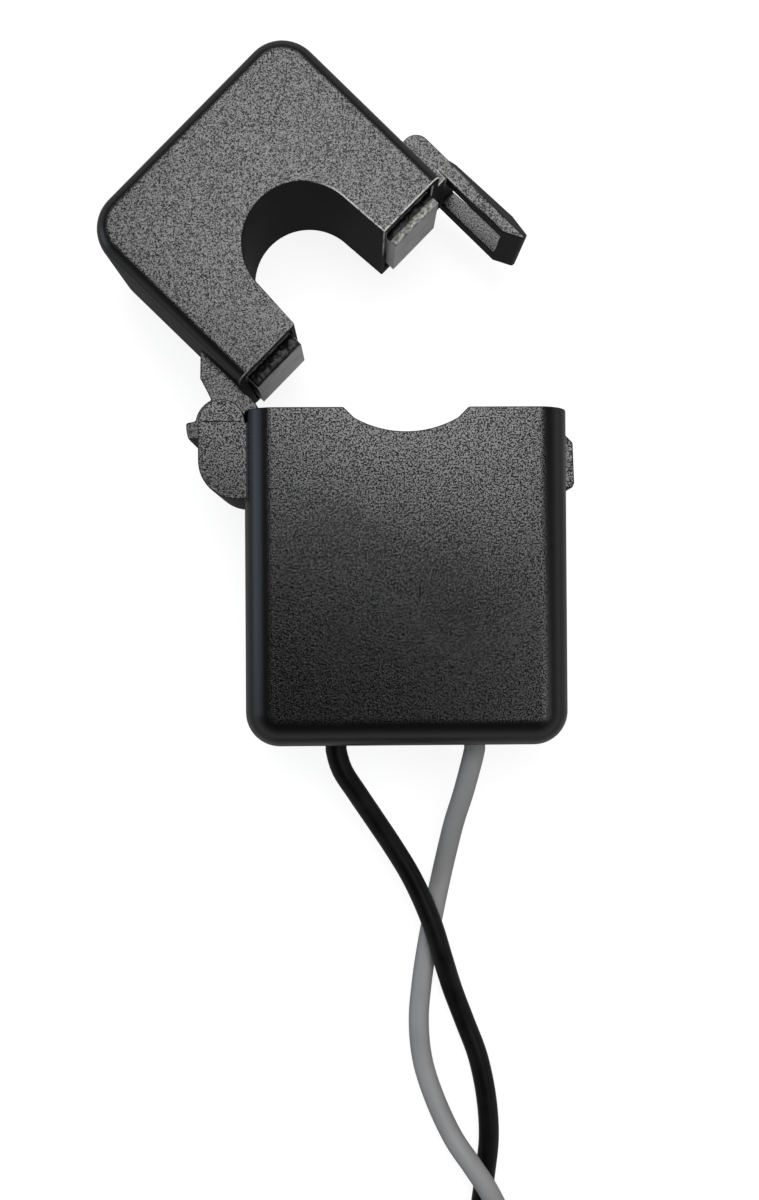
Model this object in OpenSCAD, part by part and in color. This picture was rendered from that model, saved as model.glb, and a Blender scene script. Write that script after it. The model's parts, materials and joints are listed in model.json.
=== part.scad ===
// Split-core current transformer: a two-part moulded case hinged on the left, a cut core that
// closes round a conductor, a snap loop on the right and two leads out of the bottom.
//
// The two halves are drawn closed about their parting line: X across, Y from the lower half to
// the upper half, Z from the back to the front, zero at mid depth. The finished part lies on its
// back, its upper half swung open about the hinge, with the leads on the same surface.

/* [Lower case] */
// Width across the two sides
body_w = 25.4; // [23.5:0.1:30]
// Height from the parting line to the bottom
body_h = 26.4; // [23.6:0.1:34]
// Depth from the flat back to the front
body_d = 12.5; // [11.2:0.1:15]
// Thickness of the walls
body_wall = 1.2; // [0.9:0.05:1.4]
// Fillet along the sides and the bottom
body_edge_r = 2.4; // [1.8:0.1:2.6]
// Radius of the two bottom corners in the front view
body_corner_r = 2.7; // [2.7:0.1:4]

/* [Upper case] */
// How far its sides stand in from the lower case's
cap_side = 1.4; // [1.2:0.05:1.6]
// How far its front and back stand in from the lower case's
cap_inset = 0.25; // [0.1:0.05:0.5]
// Thickness of the walls
cap_wall = 0.85; // [0.7:0.05:1]
// Room for the spring between the core and the top wall
spring_room = 2; // [1:0.1:4]
// Fillet along the sides and the top
cap_edge_r = 1.1; // [0.9:0.1:2]
// Radius of the two top corners in the front view
cap_corner_r = 3.2; // [2.2:0.1:4]
// Gap between the two cases when closed
parting_gap = 0.1; // [0.05:0.05:0.3]

/* [Conductor window] */
// Clear width at the round end, which is the largest conductor
window_w = 9.5; // [7:0.1:9.6]
// How much each side of the window opens towards the mouth, as the mould's draft
window_draft = 0.25; // [0.1:0.05:0.4]
// Height of the round end above the parting line
window_h = 8.75; // [6:0.05:12]
// Wall between the round end and the core
window_wall = 0.6; // [0.5:0.05:0.8]
// Depth of the round seat in the lower case
seat_depth = 1.9; // [1:0.1:2.4]
// Radius of that seat
seat_r = 8.1; // [6:0.1:12]
// Thickness of the cover that forms the seat
cover_t = 1; // [0.6:0.1:1.4]

/* [Core] */
// How far the upper poles stand out past their case
pole_stand = 0.8; // [0.4:0.1:1]
// Air gap left between the pole faces when closed
pole_gap = 0.05; // [0.02:0.01:0.1]
// Room below the lower yoke for the board and the ends of the leads
board_room = 10.95; // [10:0.05:14]
// Radius of the core's outer corners
core_corner_r = 2; // [1:0.1:2.5]

/* [Winding] */
// Wall of the bobbin
bobbin_wall = 0.4; // [0.3:0.05:0.5]
// Thickness of the wound wire
wire_build = 1.1; // [0.6:0.05:1.15]
// Thickness of the tape over the winding
tape_t = 0.12; // [0.05:0.01:0.15]
// Thickness of the bobbin's two flanges
flange_t = 0.5; // [0.4:0.05:0.8]

/* [Hinge] */
// Distance of the hinge axis outside the lower case's side
hinge_out = 1.7; // [1.6:0.05:1.9]
// Distance of the hinge axis below the parting line
hinge_drop = 1; // [0.7:0.05:1.3]
// Diameter of the hinge pin
pin_d = 1.4; // [1:0.1:1.6]
// Radial running clearance round the pin
pin_clear = 0.05; // [0.02:0.01:0.08]
// Radius of the two ears round the pin
ear_r = 1.85; // [1.6:0.05:2]
// Thickness of each ear
ear_t = 1.5; // [1.2:0.1:1.7]
// Radius of the round lower end of the ears
lobe_r = 3.05; // [2.6:0.05:3.3]
// Height of the ears' straight outer edge
ear_straight = 2.95; // [2.4:0.05:3.6]
// Width of the knuckle between the ears
knuckle_w = 6.6; // [5:0.1:6.8]
// Radius of the knuckle round the pin
barrel_r = 2.3; // [1.5:0.05:2.4]
// Angle of the upper half at rest, in degrees from closed
open_angle = 45.5; // [30:0.5:60]
// Angle at which the stop meets its web, in degrees from closed
full_angle = 75; // [70:1:80]

/* [Snap latch] */
// Width of the loop
loop_w = 7.6; // [7:0.1:8]
// Width of the slot through the loop
loop_slot = 4.7; // [4.6:0.1:5]
// Thickness of the loop's rails
rail_t = 1.4; // [1.1:0.05:1.5]
// Height of the bar across the loop's end
bar_h = 1.75; // [1.4:0.05:2]
// Lean of the loop's outside, measured at its end
loop_flare = 0.3; // [0:0.05:0.5]
// Bevel along the loop's outer edges
loop_bevel = 0.45; // [0.2:0.05:0.6]
// Width of the pad that carries the loop
pad_w = 7; // [6:0.1:7]
// Height of that pad above the parting line
pad_h = 4.6; // [3:0.1:6]
// How far the pad stands out from the upper case
pad_out = 2; // [1.8:0.05:2.1]
// Depth of the channel for the loop in the lower case
channel_depth = 0.9; // [0.7:0.05:1]
// Distance of the catch's hooked face below the parting line
catch_y = 5.9; // [5.5:0.1:6.5]
// How far the catch stands out past the lower case's side
catch_out = 1.05; // [0.8:0.05:1.2]

/* [Leads] */
// Diameter of each lead
lead_d = 1.75; // [1.5:0.05:2]
// Distance between the two leads where they leave the case
lead_pitch = 11.4; // [9:0.1:12]
// Diameter of the tinned end of each lead
tip_d = 0.75; // [0.5:0.05:1]
// Length of the tinned ends
tip_len = 7; // [4:0.5:10]
// Radius of the coiled leads, at the middle of their turns
coil_r = 15; // [13:0.5:18]
// Turns side by side in the coil
coil_columns = 5; // [4:1:6]
// Turns on top of each other in the coil
coil_rows = 4; // [3:1:5]

/* [Terminal board] */
// Thickness of the board
board_t = 0.8; // [0.6:0.1:1]
// Height of the board
board_h = 5.2; // [4.6:0.1:5.4]
// Radius of the burden resistor's body
burden_r = 1.1; // [0.8:0.05:1.2]
// Length of the burden resistor's body
burden_len = 6; // [4:0.1:6.4]

/* [Hidden] */
$fn = 96;

over = 1;             // how far a cut runs past the face that it opens
moving_gap = 0.25;    // air between the knuckle, the loop or the poles and what they move past
fitted_gap = 0.05;    // slip between pieces that are assembled and stay put
glue_proud = 0.65;    // highest bead of adhesive on the front of a pole
core_slip = 0.1;      // between the core and the upper case's side walls
yoke_clear = 0.25;    // between the window's wall and the upper yoke
flange_proud = 0.1;   // how far the bobbin's flanges stand out past the tape
winding_clear = 0.18; // between those flanges and the lower case
core_clear = 0.3;     // between the core and the hinge pocket
side_play = 0.2;      // between the knuckle and each ear's inner face

hinge = [-(body_w / 2 + hinge_out), -hinge_drop];
window_r = window_w / 2;
window_y = window_h - window_r;
mouth_w = window_w + 2 * window_draft;

// Lower case's inside, and the upper case round it
body_in_w = body_w - 2 * body_wall;
body_in_d = body_d - 2 * body_wall;
body_in_h = body_h - body_wall;
cap_w = body_w - 2 * cap_side;
cap_d = body_d - 2 * cap_inset;
cap_in_d = cap_d - 2 * cap_wall;

// Core: as wide as the upper case holds, as deep as the winding leaves room for
flange_out = bobbin_wall + wire_build + tape_t + flange_proud;
core_side = cap_side + cap_wall + core_slip;
core_w = body_w - 2 * core_side;
core_in = window_r + window_wall + fitted_gap;
core_leg = core_w / 2 - core_in;
core_mid = core_in + core_leg / 2;
core_d = body_in_d - 2 * (fitted_gap + flange_out + winding_clear);
upper_pole_y = -pole_stand;
upper_yoke_y = window_h + window_wall + yoke_clear;
lower_pole_y = -(pole_stand + pole_gap);
yoke_low_y = -(body_h - board_room);
yoke_mid_y = yoke_low_y + core_leg / 2;
cap_in_h = upper_yoke_y + core_leg + spring_room;
cap_h = cap_in_h + cap_wall;

// Hinge: angles are about the hinge axis, from the line out of the case's right side
pocket_wall = 0.4;
pocket_r = core_side + hinge_out - core_clear - pocket_wall;
arm_r = pocket_r - moving_gap;
nub_r = arm_r - 0.1;
pocket_d = knuckle_w + 2 * moving_gap;
ear_in_z = knuckle_w / 2 + side_play;
nub_from = 118;       // the knuckle's stop spans these two angles when closed
nub_to = 170;
stop_play = 1.5;      // free angle left between the stop and its web at the full angle
stop_angle = nub_to + full_angle + stop_play;
stop_span = 32;       // angle that the web spans behind its stop face
arm_from = -60;       // the arm's round outside spans these two angles when closed
arm_to = 70;
pin_short = 0.7;      // how much shorter the pin is than its ears
pin_cover = 0.6;      // plastic left over the pin at the front ear

// Latch: places of the loop and of the channel that it lies in when closed
loop_play = 0.15;     // between the bar and the catch's hooked face
loop_float = 0.3;     // between the rails and the bottom of the channel
end_play = 0.4;       // between the bar and the end of the channel
catch_side = 0.4;     // between the catch and each rail
channel_x = body_w / 2 - channel_depth;
rail_in_x = channel_x + loop_float;
loop_in_y = -(catch_y + loop_play);
loop_end_y = loop_in_y - bar_h;
channel_w = loop_w + 2 * moving_gap;
channel_end_y = loop_end_y - end_play;
catch_x = body_w / 2 + catch_out;
catch_w = loop_slot - 2 * catch_side;

// Board and wires in the bottom of the lower case
board_front_z = -lead_d / 2;
board_up = 0.8;       // between the board and the bottom of the case
board_side = 3.1;     // board outside each lead
board_low_y = -(body_in_h - board_up);
board_w = 2 * (lead_pitch / 2 + board_side);
rib_t = 1.2;
pad_up = 2.2;         // solder pads above the board's lower edge
lead_in = 1.2;        // bared end of each lead below its pad
solder_r = 1;
solder_h = 1.7;
tail_solder_r = 0.6;
tail_solder_h = 0.7;
lead_pad_y = board_low_y + pad_up;
lead_start_y = lead_pad_y - lead_in;
strand_r = 0.38;      // bared end of a lead
leg_r = 0.25;         // wire leg of the resistor
tail_x = 2.5;
tail_r = 0.2;         // end of the winding's wire
tail_in = 0.6;        // length of it on the board
seal_t = 0.45;        // resin round a lead
seal_lip = 0.3;       // height that the resin creeps up the lead
seal_r = lead_d / 2 + seal_t;

// Routes of the two leads, as [x from the middle, y below the lower case, height of the centre]
// above the surface that the part lies on. The black lead crosses over the white one near the
// case, and the white one crosses back over the black one further down.
lead_sides = 8;
lead_r = lead_d / 2;
black_route = [
  [-5.7, -0.8, 6.2], [-5.2, -2.5, 6.0], [-4.0, -4.5, 5.2], [-2.5, -6.9, 4.2], [-1.0, -9.3, 3.4],
  [0.4, -11.7, 2.9], [1.5, -14.0, 2.7], [2.4, -16.3, 2.7], [3.2, -19.0, 2.4], [4.1, -22.0, 1.4],
  [5.2, -25.0, 0.9], [6.3, -28.0, 0.9], [7.0, -31.5, 0.9], [7.2, -35.0, 0.9], [6.8, -38.5, 0.9],
  [6.4, -42.0, 0.9], [6.8, -45.5, 0.9], [7.5, -48.5, 0.9], [8.0, -51.6, 0.9]
];
white_route = [
  [5.7, -0.8, 6.2], [5.3, -2.6, 5.8], [4.8, -4.8, 4.8], [4.2, -7.2, 3.4], [3.7, -9.8, 2.0],
  [3.2, -12.4, 1.0], [2.6, -15.2, 0.9], [2.0, -18.2, 0.9], [1.5, -21.4, 0.9], [1.2, -24.8, 0.9],
  [1.5, -28.2, 0.9], [2.5, -31.4, 1.2], [4.0, -34.4, 2.2], [5.6, -36.6, 2.8], [7.0, -38.8, 2.8],
  [8.2, -41.6, 2.2], [9.0, -45.0, 1.1], [9.6, -48.4, 0.9], [9.8, -51.6, 0.9], [9.8, -54.6, 0.9]
];

// Coil that holds the rest of the leads
turn_pitch = 1.03 * lead_d;
coil_width = coil_columns * turn_pitch;
coil_height = lead_d + (coil_rows - 1) * 0.9 * turn_pitch;
coil_x = -8.8;
coil_y = -63;
tie_t = 0.4;
tie_w = 3;
tie_angle = 180;
end_angles = [80, 68, 56, 44, 32, 20, 8];

// Colours
case_grey = [0.12, 0.12, 0.12];
strip_grey = [0.45, 0.46, 0.44];
tin = [0.78, 0.78, 0.76];

// ---- Shared shapes -------------------------------------------------------------------------

// Swings a piece of the closed upper half open about the hinge
module swung() {
  translate([hinge[0], hinge[1], 0]) rotate([0, 0, open_angle]) translate([-hinge[0], -hinge[1], 0])
    children();
}

// Sets a piece down: the middle of the lower case's flat back comes to the origin
module placed() translate([0, body_h / 2, body_d / 2]) children();

// The section of a rounded rim: r wide from x = 0, d high, its two outer corners rounded by f
module rim_2d(r, d, f) {
  translate([0, -d / 2]) square([r - f, d]);
  translate([0, -(d / 2 - f)]) square([r, d - 2 * f]);
  for (s = [-1, 1]) translate([r - f, s * (d / 2 - f)]) intersection() {
    circle(f);
    translate([0, s > 0 ? 0 : -f]) square([f, f]);
  }
}

// A thick plate from y = 0 up to y = h, flat at y = 0 and rounded along its other three edges
module rounded_plate(w, h, d, corner_r, edge_r) {
  straight_w = w - 2 * corner_r;
  straight_h = h - corner_r;
  translate([-straight_w / 2, 0, -d / 2]) cube([straight_w, straight_h, d]);
  for (s = [0, 1]) mirror([s, 0, 0]) translate([straight_w / 2, 0, 0]) {
    rotate([-90, 0, 0]) linear_extrude(straight_h) rim_2d(corner_r, d, edge_r);
    translate([0, straight_h, 0]) rotate_extrude(angle = 90) rim_2d(corner_r, d, edge_r);
  }
  translate([-straight_w / 2, straight_h, 0]) rotate([90, 0, 90]) linear_extrude(straight_w)
    rim_2d(corner_r, d, edge_r);
}

// Extrudes an outline drawn in the front view, evenly about mid depth
module mid(depth) translate([0, 0, -depth / 2]) linear_extrude(depth) children();

// A slice of a disc about the hinge axis, from one angle to another, out to radius r
module hinge_sector_2d(r, from, to) translate(hinge) intersection() {
  circle(r);
  polygon(concat([[0, 0]], [for (i = [0:4]) 2 * r * [cos(from + i * (to - from) / 4),
    sin(from + i * (to - from) / 4)]]));
}

// ---- Lower half ----------------------------------------------------------------------------

// The seat for the conductor: a shallow arc with a bevel up to the parting line at each side
module seat_2d(grow = 0) {
  half = sqrt(seat_r * seat_r - pow(seat_r - seat_depth / 2, 2)) + grow;
  intersection() {
    translate([0, seat_r - seat_depth]) circle(seat_r + grow);
    polygon([[-half, -seat_depth - grow - over], [half, -seat_depth - grow - over],
      [half, -seat_depth / 2 - 0.1], [half + seat_depth / 2 + 0.1, 0], [half + seat_depth, over],
      [-half - seat_depth, over], [-half - seat_depth / 2 - 0.1, 0], [-half, -seat_depth / 2 - 0.1]]);
  }
}

// Outline of an ear: round at the pin, straight down its outside, then round again to the case
module ear_2d() intersection() {
  union() {
    translate(hinge) circle(ear_r);
    translate([hinge[0] - ear_r, hinge[1] - ear_straight]) square([lobe_r, ear_straight]);
    translate([hinge[0] - ear_r + lobe_r, hinge[1] - ear_straight]) circle(lobe_r);
  }
  translate([hinge[0] - lobe_r, hinge[1] - 4 * lobe_r])
    square([lobe_r + hinge_out + body_wall / 2, 6 * lobe_r]);
}

// The web between the ears, with a radial face that the knuckle's stop meets when fully open
module stop_web_2d() {
  difference() {
    intersection() {
      ear_2d();
      translate([hinge[0] - lobe_r, hinge[1] - 4 * lobe_r]) square([3 * lobe_r, 3 * lobe_r]);
    }
    translate(hinge) circle(pocket_r);
  }
  difference() {
    hinge_sector_2d(pocket_r + 0.2, stop_angle, stop_angle + stop_span);
    translate(hinge) circle(barrel_r + moving_gap);
  }
}

module catch_2d() polygon([[channel_x - 0.3, -0.5], [channel_x + 0.2, -0.5],
  [catch_x - 0.1, -(0.3 + catch_x - channel_x)], [catch_x, -(catch_y - 0.4)],
  [catch_x - 0.15, -catch_y], [channel_x - 0.3, -catch_y]]);

module lower_case() color(case_grey) placed() difference() {
  union() {
    difference() {
      mirror([0, 1, 0]) rounded_plate(body_w, body_h, body_d, body_corner_r, body_edge_r);
      translate([0, over, 0]) mirror([0, 1, 0])
        rounded_plate(body_in_w, body_in_h + over, body_in_d, body_corner_r - body_wall,
          body_edge_r - body_wall);
      translate([channel_x, channel_end_y, -channel_w / 2])
        cube([body_w, -channel_end_y + over, channel_w]);
    }
    // inside of the channel, thickened so that the wall stays whole behind it
    translate([channel_x - body_wall, channel_end_y - body_wall, -channel_w / 2 - body_wall])
      cube([body_wall, body_wall - channel_end_y, channel_w + 2 * body_wall]);
    mid(catch_w) catch_2d();
    for (s = [-1, 1]) translate([0, 0, s * (ear_in_z + ear_t / 2)]) mid(ear_t) ear_2d();
    mid(2 * ear_in_z) stop_web_2d();
    pocket_shell();
    core_ribs();
  }
  mid(body_d + 2 * over) seat_2d();
  mid(pocket_d) translate(hinge) circle(barrel_r + moving_gap);
  mid(pocket_d) hinge_sector_2d(pocket_r, stop_angle - 360 + stop_span, 90);
  translate([hinge[0], hinge[1], -ear_in_z - ear_t - over])
    cylinder(d = pin_d, h = 2 * ear_in_z + 2 * ear_t + over - pin_cover);
  for (s = [-1, 1]) translate([s * lead_pitch / 2, -body_h - over, 0]) rotate([-90, 0, 0])
    cylinder(r = seal_r, h = body_wall + 2 * over);
}

// Wall round the knuckle's pocket, inside the lower case
module pocket_shell() mid(pocket_d + 1.2) intersection() {
  translate(hinge) circle(pocket_r + pocket_wall);
  translate([-body_in_w / 2 - body_wall / 2, -body_h / 2]) square([body_in_w / 4, body_h / 2]);
}

// Two ribs from the bottom: the core stands on them and the board slides down their slots
module core_ribs() difference() {
  for (s = [-1, 1]) translate([s * (board_w / 2 + 0.1), -body_in_h - body_wall / 2, -core_d / 2])
    translate([-rib_t / 2, 0, 0]) cube([rib_t, body_in_h + body_wall / 2 + yoke_low_y - fitted_gap,
      core_d]);
  translate([-board_w / 2 - fitted_gap, board_low_y - fitted_gap, board_front_z - board_t - fitted_gap])
    cube([board_w + 2 * fitted_gap, body_h, board_t + 2 * fitted_gap]);
}

// Cover that closes the lower case, with a window for each pole and the seat in its middle
module lower_cover() color([0.14, 0.14, 0.14]) placed() difference() {
  mid(body_in_d - 2 * fitted_gap) difference() {
    union() {
      translate([-body_in_w / 2 + fitted_gap, -cover_t]) square([body_in_w - 2 * fitted_gap, cover_t]);
      intersection() {
        seat_2d(cover_t);
        translate([-core_in + fitted_gap, -seat_depth - cover_t])
          square([2 * (core_in - fitted_gap), seat_depth + cover_t]);
      }
    }
    seat_2d();
    translate(hinge) circle(pocket_r + pocket_wall + fitted_gap);
    translate([channel_x - body_wall - fitted_gap, -cover_t - over]) square([body_wall + body_w,
      cover_t + 2 * over]);
  }
  for (s = [-1, 1]) translate([s * core_mid, 0, 0])
    cube([core_leg + 2 * moving_gap, 4 * cover_t, core_d + 2 * (glue_proud + moving_gap)], center = true);
}

module hinge_pin() color(tin) placed() translate([hinge[0], hinge[1], -ear_in_z - ear_t]) {
  chamfer = 0.15;
  length = 2 * (ear_in_z + ear_t) - pin_short;
  cylinder(d1 = pin_d - 2 * chamfer, d2 = pin_d, h = chamfer);
  translate([0, 0, chamfer]) cylinder(d = pin_d, h = length - 2 * chamfer);
  translate([0, 0, length - chamfer]) cylinder(d1 = pin_d, d2 = pin_d - 2 * chamfer, h = chamfer);
}

// Outline of a U-shaped core: legs down to y = 0 and a yoke with rounded outer corners
module core_2d(height) difference() {
  union() {
    translate([-core_w / 2, 0]) square([core_w, height - core_corner_r]);
    translate([-core_w / 2 + core_corner_r, 0]) square([core_w - 2 * core_corner_r, height]);
    for (s = [-1, 1]) translate([s * (core_w / 2 - core_corner_r), height - core_corner_r])
      circle(core_corner_r);
  }
  translate([-core_in, -over]) square([2 * core_in, height - core_leg + over]);
}

module lower_core() color(strip_grey) placed() translate([0, lower_pole_y, 0])
  mirror([0, 1, 0]) mid(core_d) core_2d(lower_pole_y - yoke_low_y);

// One half of the bobbin, clipped round the yoke between the legs: a trough with two end flanges
module bobbin_half() {
  long = 2 * (core_in - moving_gap);
  inner_y = core_leg / 2 + fitted_gap;
  inner_z = core_d / 2 + fitted_gap;
  translate([0, yoke_mid_y, 0]) difference() {
    union() {
      translate([-long / 2, -inner_y - bobbin_wall, 0])
        cube([long, 2 * (inner_y + bobbin_wall), inner_z + bobbin_wall]);
      for (s = [-1, 1]) translate([s * (long - flange_t) / 2 - flange_t / 2, -inner_y - flange_out, 0])
        cube([flange_t, 2 * (inner_y + flange_out), inner_z + flange_out]);
    }
    translate([-long, -inner_y, -over]) cube([2 * long, 2 * inner_y, inner_z + over]);
  }
}

module bobbin_front() color([0.86, 0.84, 0.76]) placed() bobbin_half();
module bobbin_back() color([0.86, 0.84, 0.76]) placed() mirror([0, 0, 1]) bobbin_half();

// A band round the bobbin, from one thickness of wire to another, with rounded outer corners
module wound_band(from, to) {
  long = 2 * (core_in - moving_gap - flange_t - fitted_gap);
  in_y = core_leg / 2 + fitted_gap + bobbin_wall;
  in_z = core_d / 2 + fitted_gap + bobbin_wall;
  translate([-long / 2, yoke_mid_y, 0]) rotate([90, 0, 90]) linear_extrude(long) difference() {
    wound_2d(in_y, in_z, to);
    wound_2d(in_y, in_z, from);
  }
}

// A rectangle with half sizes a and b, grown by t with round corners
module wound_2d(a, b, t) {
  square([2 * (a + t), 2 * b], center = true);
  square([2 * a, 2 * (b + t)], center = true);
  if (t > 0) for (i = [-1, 1], j = [-1, 1]) translate([i * a, j * b]) circle(t);
}

module winding() color([0.62, 0.3, 0.12]) placed() wound_band(0, wire_build);
module winding_tape() color([0.85, 0.72, 0.2]) placed() wound_band(wire_build, wire_build + tape_t);

// ---- Board and wires in the lower case -----------------------------------------------------

module terminal_board() color([0.1, 0.35, 0.18]) placed()
  translate([-board_w / 2, board_low_y, board_front_z - board_t]) cube([board_w, board_h, board_t]);

// The two ends of the winding, run down from the bobbin's flanges to the board
module tail_wires(r) for (s = [-1, 1])
  translate([s * tail_x, board_low_y + board_h - tail_in, board_front_z + tail_r]) rotate([-90, 0, 0])
    cylinder(r = r, h = yoke_low_y - fitted_gap - bobbin_wall - wire_build - tape_t
      - fitted_gap - board_low_y - board_h + tail_in);

module coil_tails() color([0.62, 0.3, 0.12]) placed() tail_wires(tail_r);

module burden_legs(r) for (s = [-1, 1])
  translate([s * burden_len / 2, lead_pad_y, board_front_z + burden_r]) rotate([0, s * 90, 0])
    cylinder(r = r, h = lead_pitch / 2 - burden_len / 2);

module burden_resistor() color([0.35, 0.55, 0.75]) placed() {
  translate([-burden_len / 2, lead_pad_y, board_front_z + burden_r]) rotate([0, 90, 0])
    cylinder(r = burden_r, h = burden_len);
  burden_legs(leg_r);
}

module dome(r, h) rotate_extrude() intersection() {
  translate([0, h - (r * r + h * h) / (2 * h)]) circle((r * r + h * h) / (2 * h));
  square([r, h]);
}

// Solder on the board's four pads, with the tinned strands of the leads going into it
module solder_joints() color(tin) placed() difference() {
  union() for (s = [-1, 1]) {
    translate([s * lead_pitch / 2, lead_pad_y, board_front_z]) dome(solder_r, solder_h);
    translate([s * lead_pitch / 2, lead_start_y, 0]) rotate([-90, 0, 0])
      cylinder(r = strand_r, h = lead_pad_y - lead_start_y);
    translate([s * tail_x, board_low_y + board_h - tail_solder_h, board_front_z])
      dome(tail_solder_r, tail_solder_h);
  }
  burden_legs(leg_r);
  tail_wires(tail_r);
}

// Ring of sealing resin round each lead where it leaves the case
module lead_seals() color([0.2, 0.2, 0.2]) placed() for (s = [-1, 1])
  translate([s * lead_pitch / 2, -body_in_h, 0]) rotate([90, 0, 0]) rotate_extrude()
    translate([lead_r, 0]) polygon([[0, 0], [seal_r - lead_r, 0], [seal_r - lead_r, body_wall],
      [0, body_wall + seal_lip]]);

// ---- Upper half ----------------------------------------------------------------------------

// The conductor window, closed by an arc at the top and opened a little towards the mouth
module window_2d() {
  translate([0, window_y]) circle(window_r);
  polygon([[-window_r, window_y], [-mouth_w / 2, 0], [-mouth_w / 2, -window_r],
    [mouth_w / 2, -window_r], [mouth_w / 2, 0], [window_r, window_y]]);
}

// Outline of the wall round the window, window and all
module window_wall_2d() {
  translate([0, window_y]) circle(window_r + window_wall);
  translate([-window_r - window_wall, parting_gap]) square([2 * (window_r + window_wall),
    window_y - parting_gap]);
}

// Arm and knuckle on the left: the arm hangs from the side wall and reaches past the parting line
module knuckle_2d() {
  side = -cap_w / 2;
  neck = [hinge[0] + 0.45 * (side - hinge[0]), 0.65 * pad_h];
  throat = hinge + arm_r * [0.32, 0.87];
  translate(hinge) circle(barrel_r);
  hinge_sector_2d(arm_r, arm_from, arm_to);
  hinge_sector_2d(nub_r, nub_from, nub_to);
  polygon([hinge, hinge + arm_r * [0.93, 0.05], [side - fitted_gap, parting_gap],
    [side + cap_wall, parting_gap], [side + cap_wall, pad_h], [side, pad_h], neck, throat]);
}

// Side view of the pad: flat on the case, its outer top corner rounded
module pad_2d() {
  r = 0.6 * pad_out;
  side = cap_w / 2;
  translate([side - cap_wall, parting_gap]) square([cap_wall + pad_out, pad_h - r - parting_gap]);
  translate([side - cap_wall, parting_gap]) square([cap_wall + pad_out - r, pad_h - parting_gap]);
  translate([side + pad_out - r, pad_h - r]) circle(r);
}

// Side view of the loop, from its root in the pad to the bar across its end
module loop_2d() {
  out = rail_in_x + rail_t;
  polygon([[rail_in_x, parting_gap + 0.8], [rail_in_x, loop_in_y - 0.15],
    [rail_in_x + 0.75, loop_end_y + 0.1], [rail_in_x + 0.95, loop_end_y],
    [out - 0.1, loop_end_y + 0.1], [out + loop_flare, loop_in_y + 0.3],
    [out, parting_gap + 0.2], [out - 0.2, parting_gap + 0.8]]);
}

// The loop: two rails and a bar, with bevelled outer edges
module loop() {
  out = rail_in_x + rail_t + loop_flare;
  difference() {
    intersection() {
      mid(loop_w) loop_2d();
      translate([0, over + parting_gap, 0]) rotate([90, 0, 0]) linear_extrude(2 * catch_y + bar_h)
        polygon([[0, -loop_w / 2], [out - loop_bevel - loop_flare, -loop_w / 2],
          [out, -loop_w / 2 + loop_bevel + loop_flare], [out, loop_w / 2 - loop_bevel - loop_flare],
          [out - loop_bevel - loop_flare, loop_w / 2], [0, loop_w / 2]]);
    }
    translate([0, loop_in_y, -loop_slot / 2])
      cube([2 * out, -loop_in_y + parting_gap - 0.1, loop_slot]);
  }
}

module upper_case() color([0.4, 0.4, 0.39]) placed() swung() difference() {
  union() {
    difference() {
      translate([0, parting_gap, 0])
        rounded_plate(cap_w, cap_h - parting_gap, cap_d, cap_corner_r, cap_edge_r);
      translate([0, -over, 0]) rounded_plate(cap_w - 2 * cap_wall, cap_in_h + over, cap_in_d,
        cap_corner_r - cap_wall, cap_edge_r - cap_wall);
    }
    mid(cap_d - cap_wall) window_wall_2d();
    cap_ribs();
    mid(knuckle_w) knuckle_2d();
    mid(pad_w) pad_2d();
    loop();
  }
  mid(cap_d + 2 * over) window_2d();
  translate([hinge[0], hinge[1], -knuckle_w]) cylinder(d = pin_d + 2 * pin_clear, h = 2 * knuckle_w);
}

// Ribs on the front and back walls that hold the core at mid depth
module cap_ribs() {
  high = cap_in_d / 2 - core_d / 2 - fitted_gap;
  rib_up = 2;
  for (s = [-1, 1], m = [0, 1]) mirror([0, 0, m])
    translate([s * core_mid - rib_t / 2, rib_up, core_d / 2 + fitted_gap])
      cube([rib_t, upper_yoke_y, high + cap_wall / 2]);
}

module upper_core() color(strip_grey) placed() swung() translate([0, upper_pole_y, 0])
  mid(core_d) core_2d(upper_yoke_y + core_leg - upper_pole_y);

// Bowed leaf spring between the upper yoke and the top of the case
module core_spring() color([0.7, 0.72, 0.74]) placed() swung() {
  t = 0.25;
  half = 0.31 * core_w;
  low = upper_yoke_y + core_leg + fitted_gap;
  rise = cap_in_h - fitted_gap - low;
  r = (half * half + rise * rise) / (2 * rise);
  translate([0, low + rise - r, 0]) mid(core_d - 1.2) intersection() {
    difference() {
      circle(r);
      circle(r - t);
    }
    translate([-half, r - rise]) square([2 * half, 2 * r]);
  }
}

// Beads of adhesive that hold the upper poles, run together along the front edge of each
module pole_glue() color([0.75, 0.75, 0.7]) placed() swung() {
  bead_r = 0.55;
  bead_step = 0.8;
  for (s = [-1, 1], i = [0:4]) translate([s * core_mid + (i - 2) * bead_step,
    -0.1 - 0.15 * (i % 2), core_d / 2]) dome(bead_r, glue_proud - 0.1 * (i % 3));
}

// ---- Leads ---------------------------------------------------------------------------------

// A round lead with flat ends, swept along a list of points
function unit(v) = v / norm(v);
function heading(p, i) = unit(p[min(i + 1, len(p) - 1)] - p[max(i - 1, 0)]);
function ring(p, i) = let (t = heading(p, i), a = unit(cross([0, 0, 1], t)), b = cross(t, a))
  [for (k = [0:lead_sides - 1]) p[i] + lead_r * (cos(360 * k / lead_sides) * a
    + sin(360 * k / lead_sides) * b)];

module swept_lead(p) {
  n = lead_sides;
  last = (len(p) - 1) * n;
  polyhedron(
    points = [for (i = [0:len(p) - 1]) each ring(p, i)],
    faces = concat(
      [[for (k = [0:n - 1]) k]],
      [for (i = [0:len(p) - 2], k = [0:n - 1])
        [i * n + k, (i + 1) * n + k, (i + 1) * n + (k + 1) % n, i * n + (k + 1) % n]],
      [[for (k = [n - 1:-1:0]) last + k]]));
}

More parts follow.
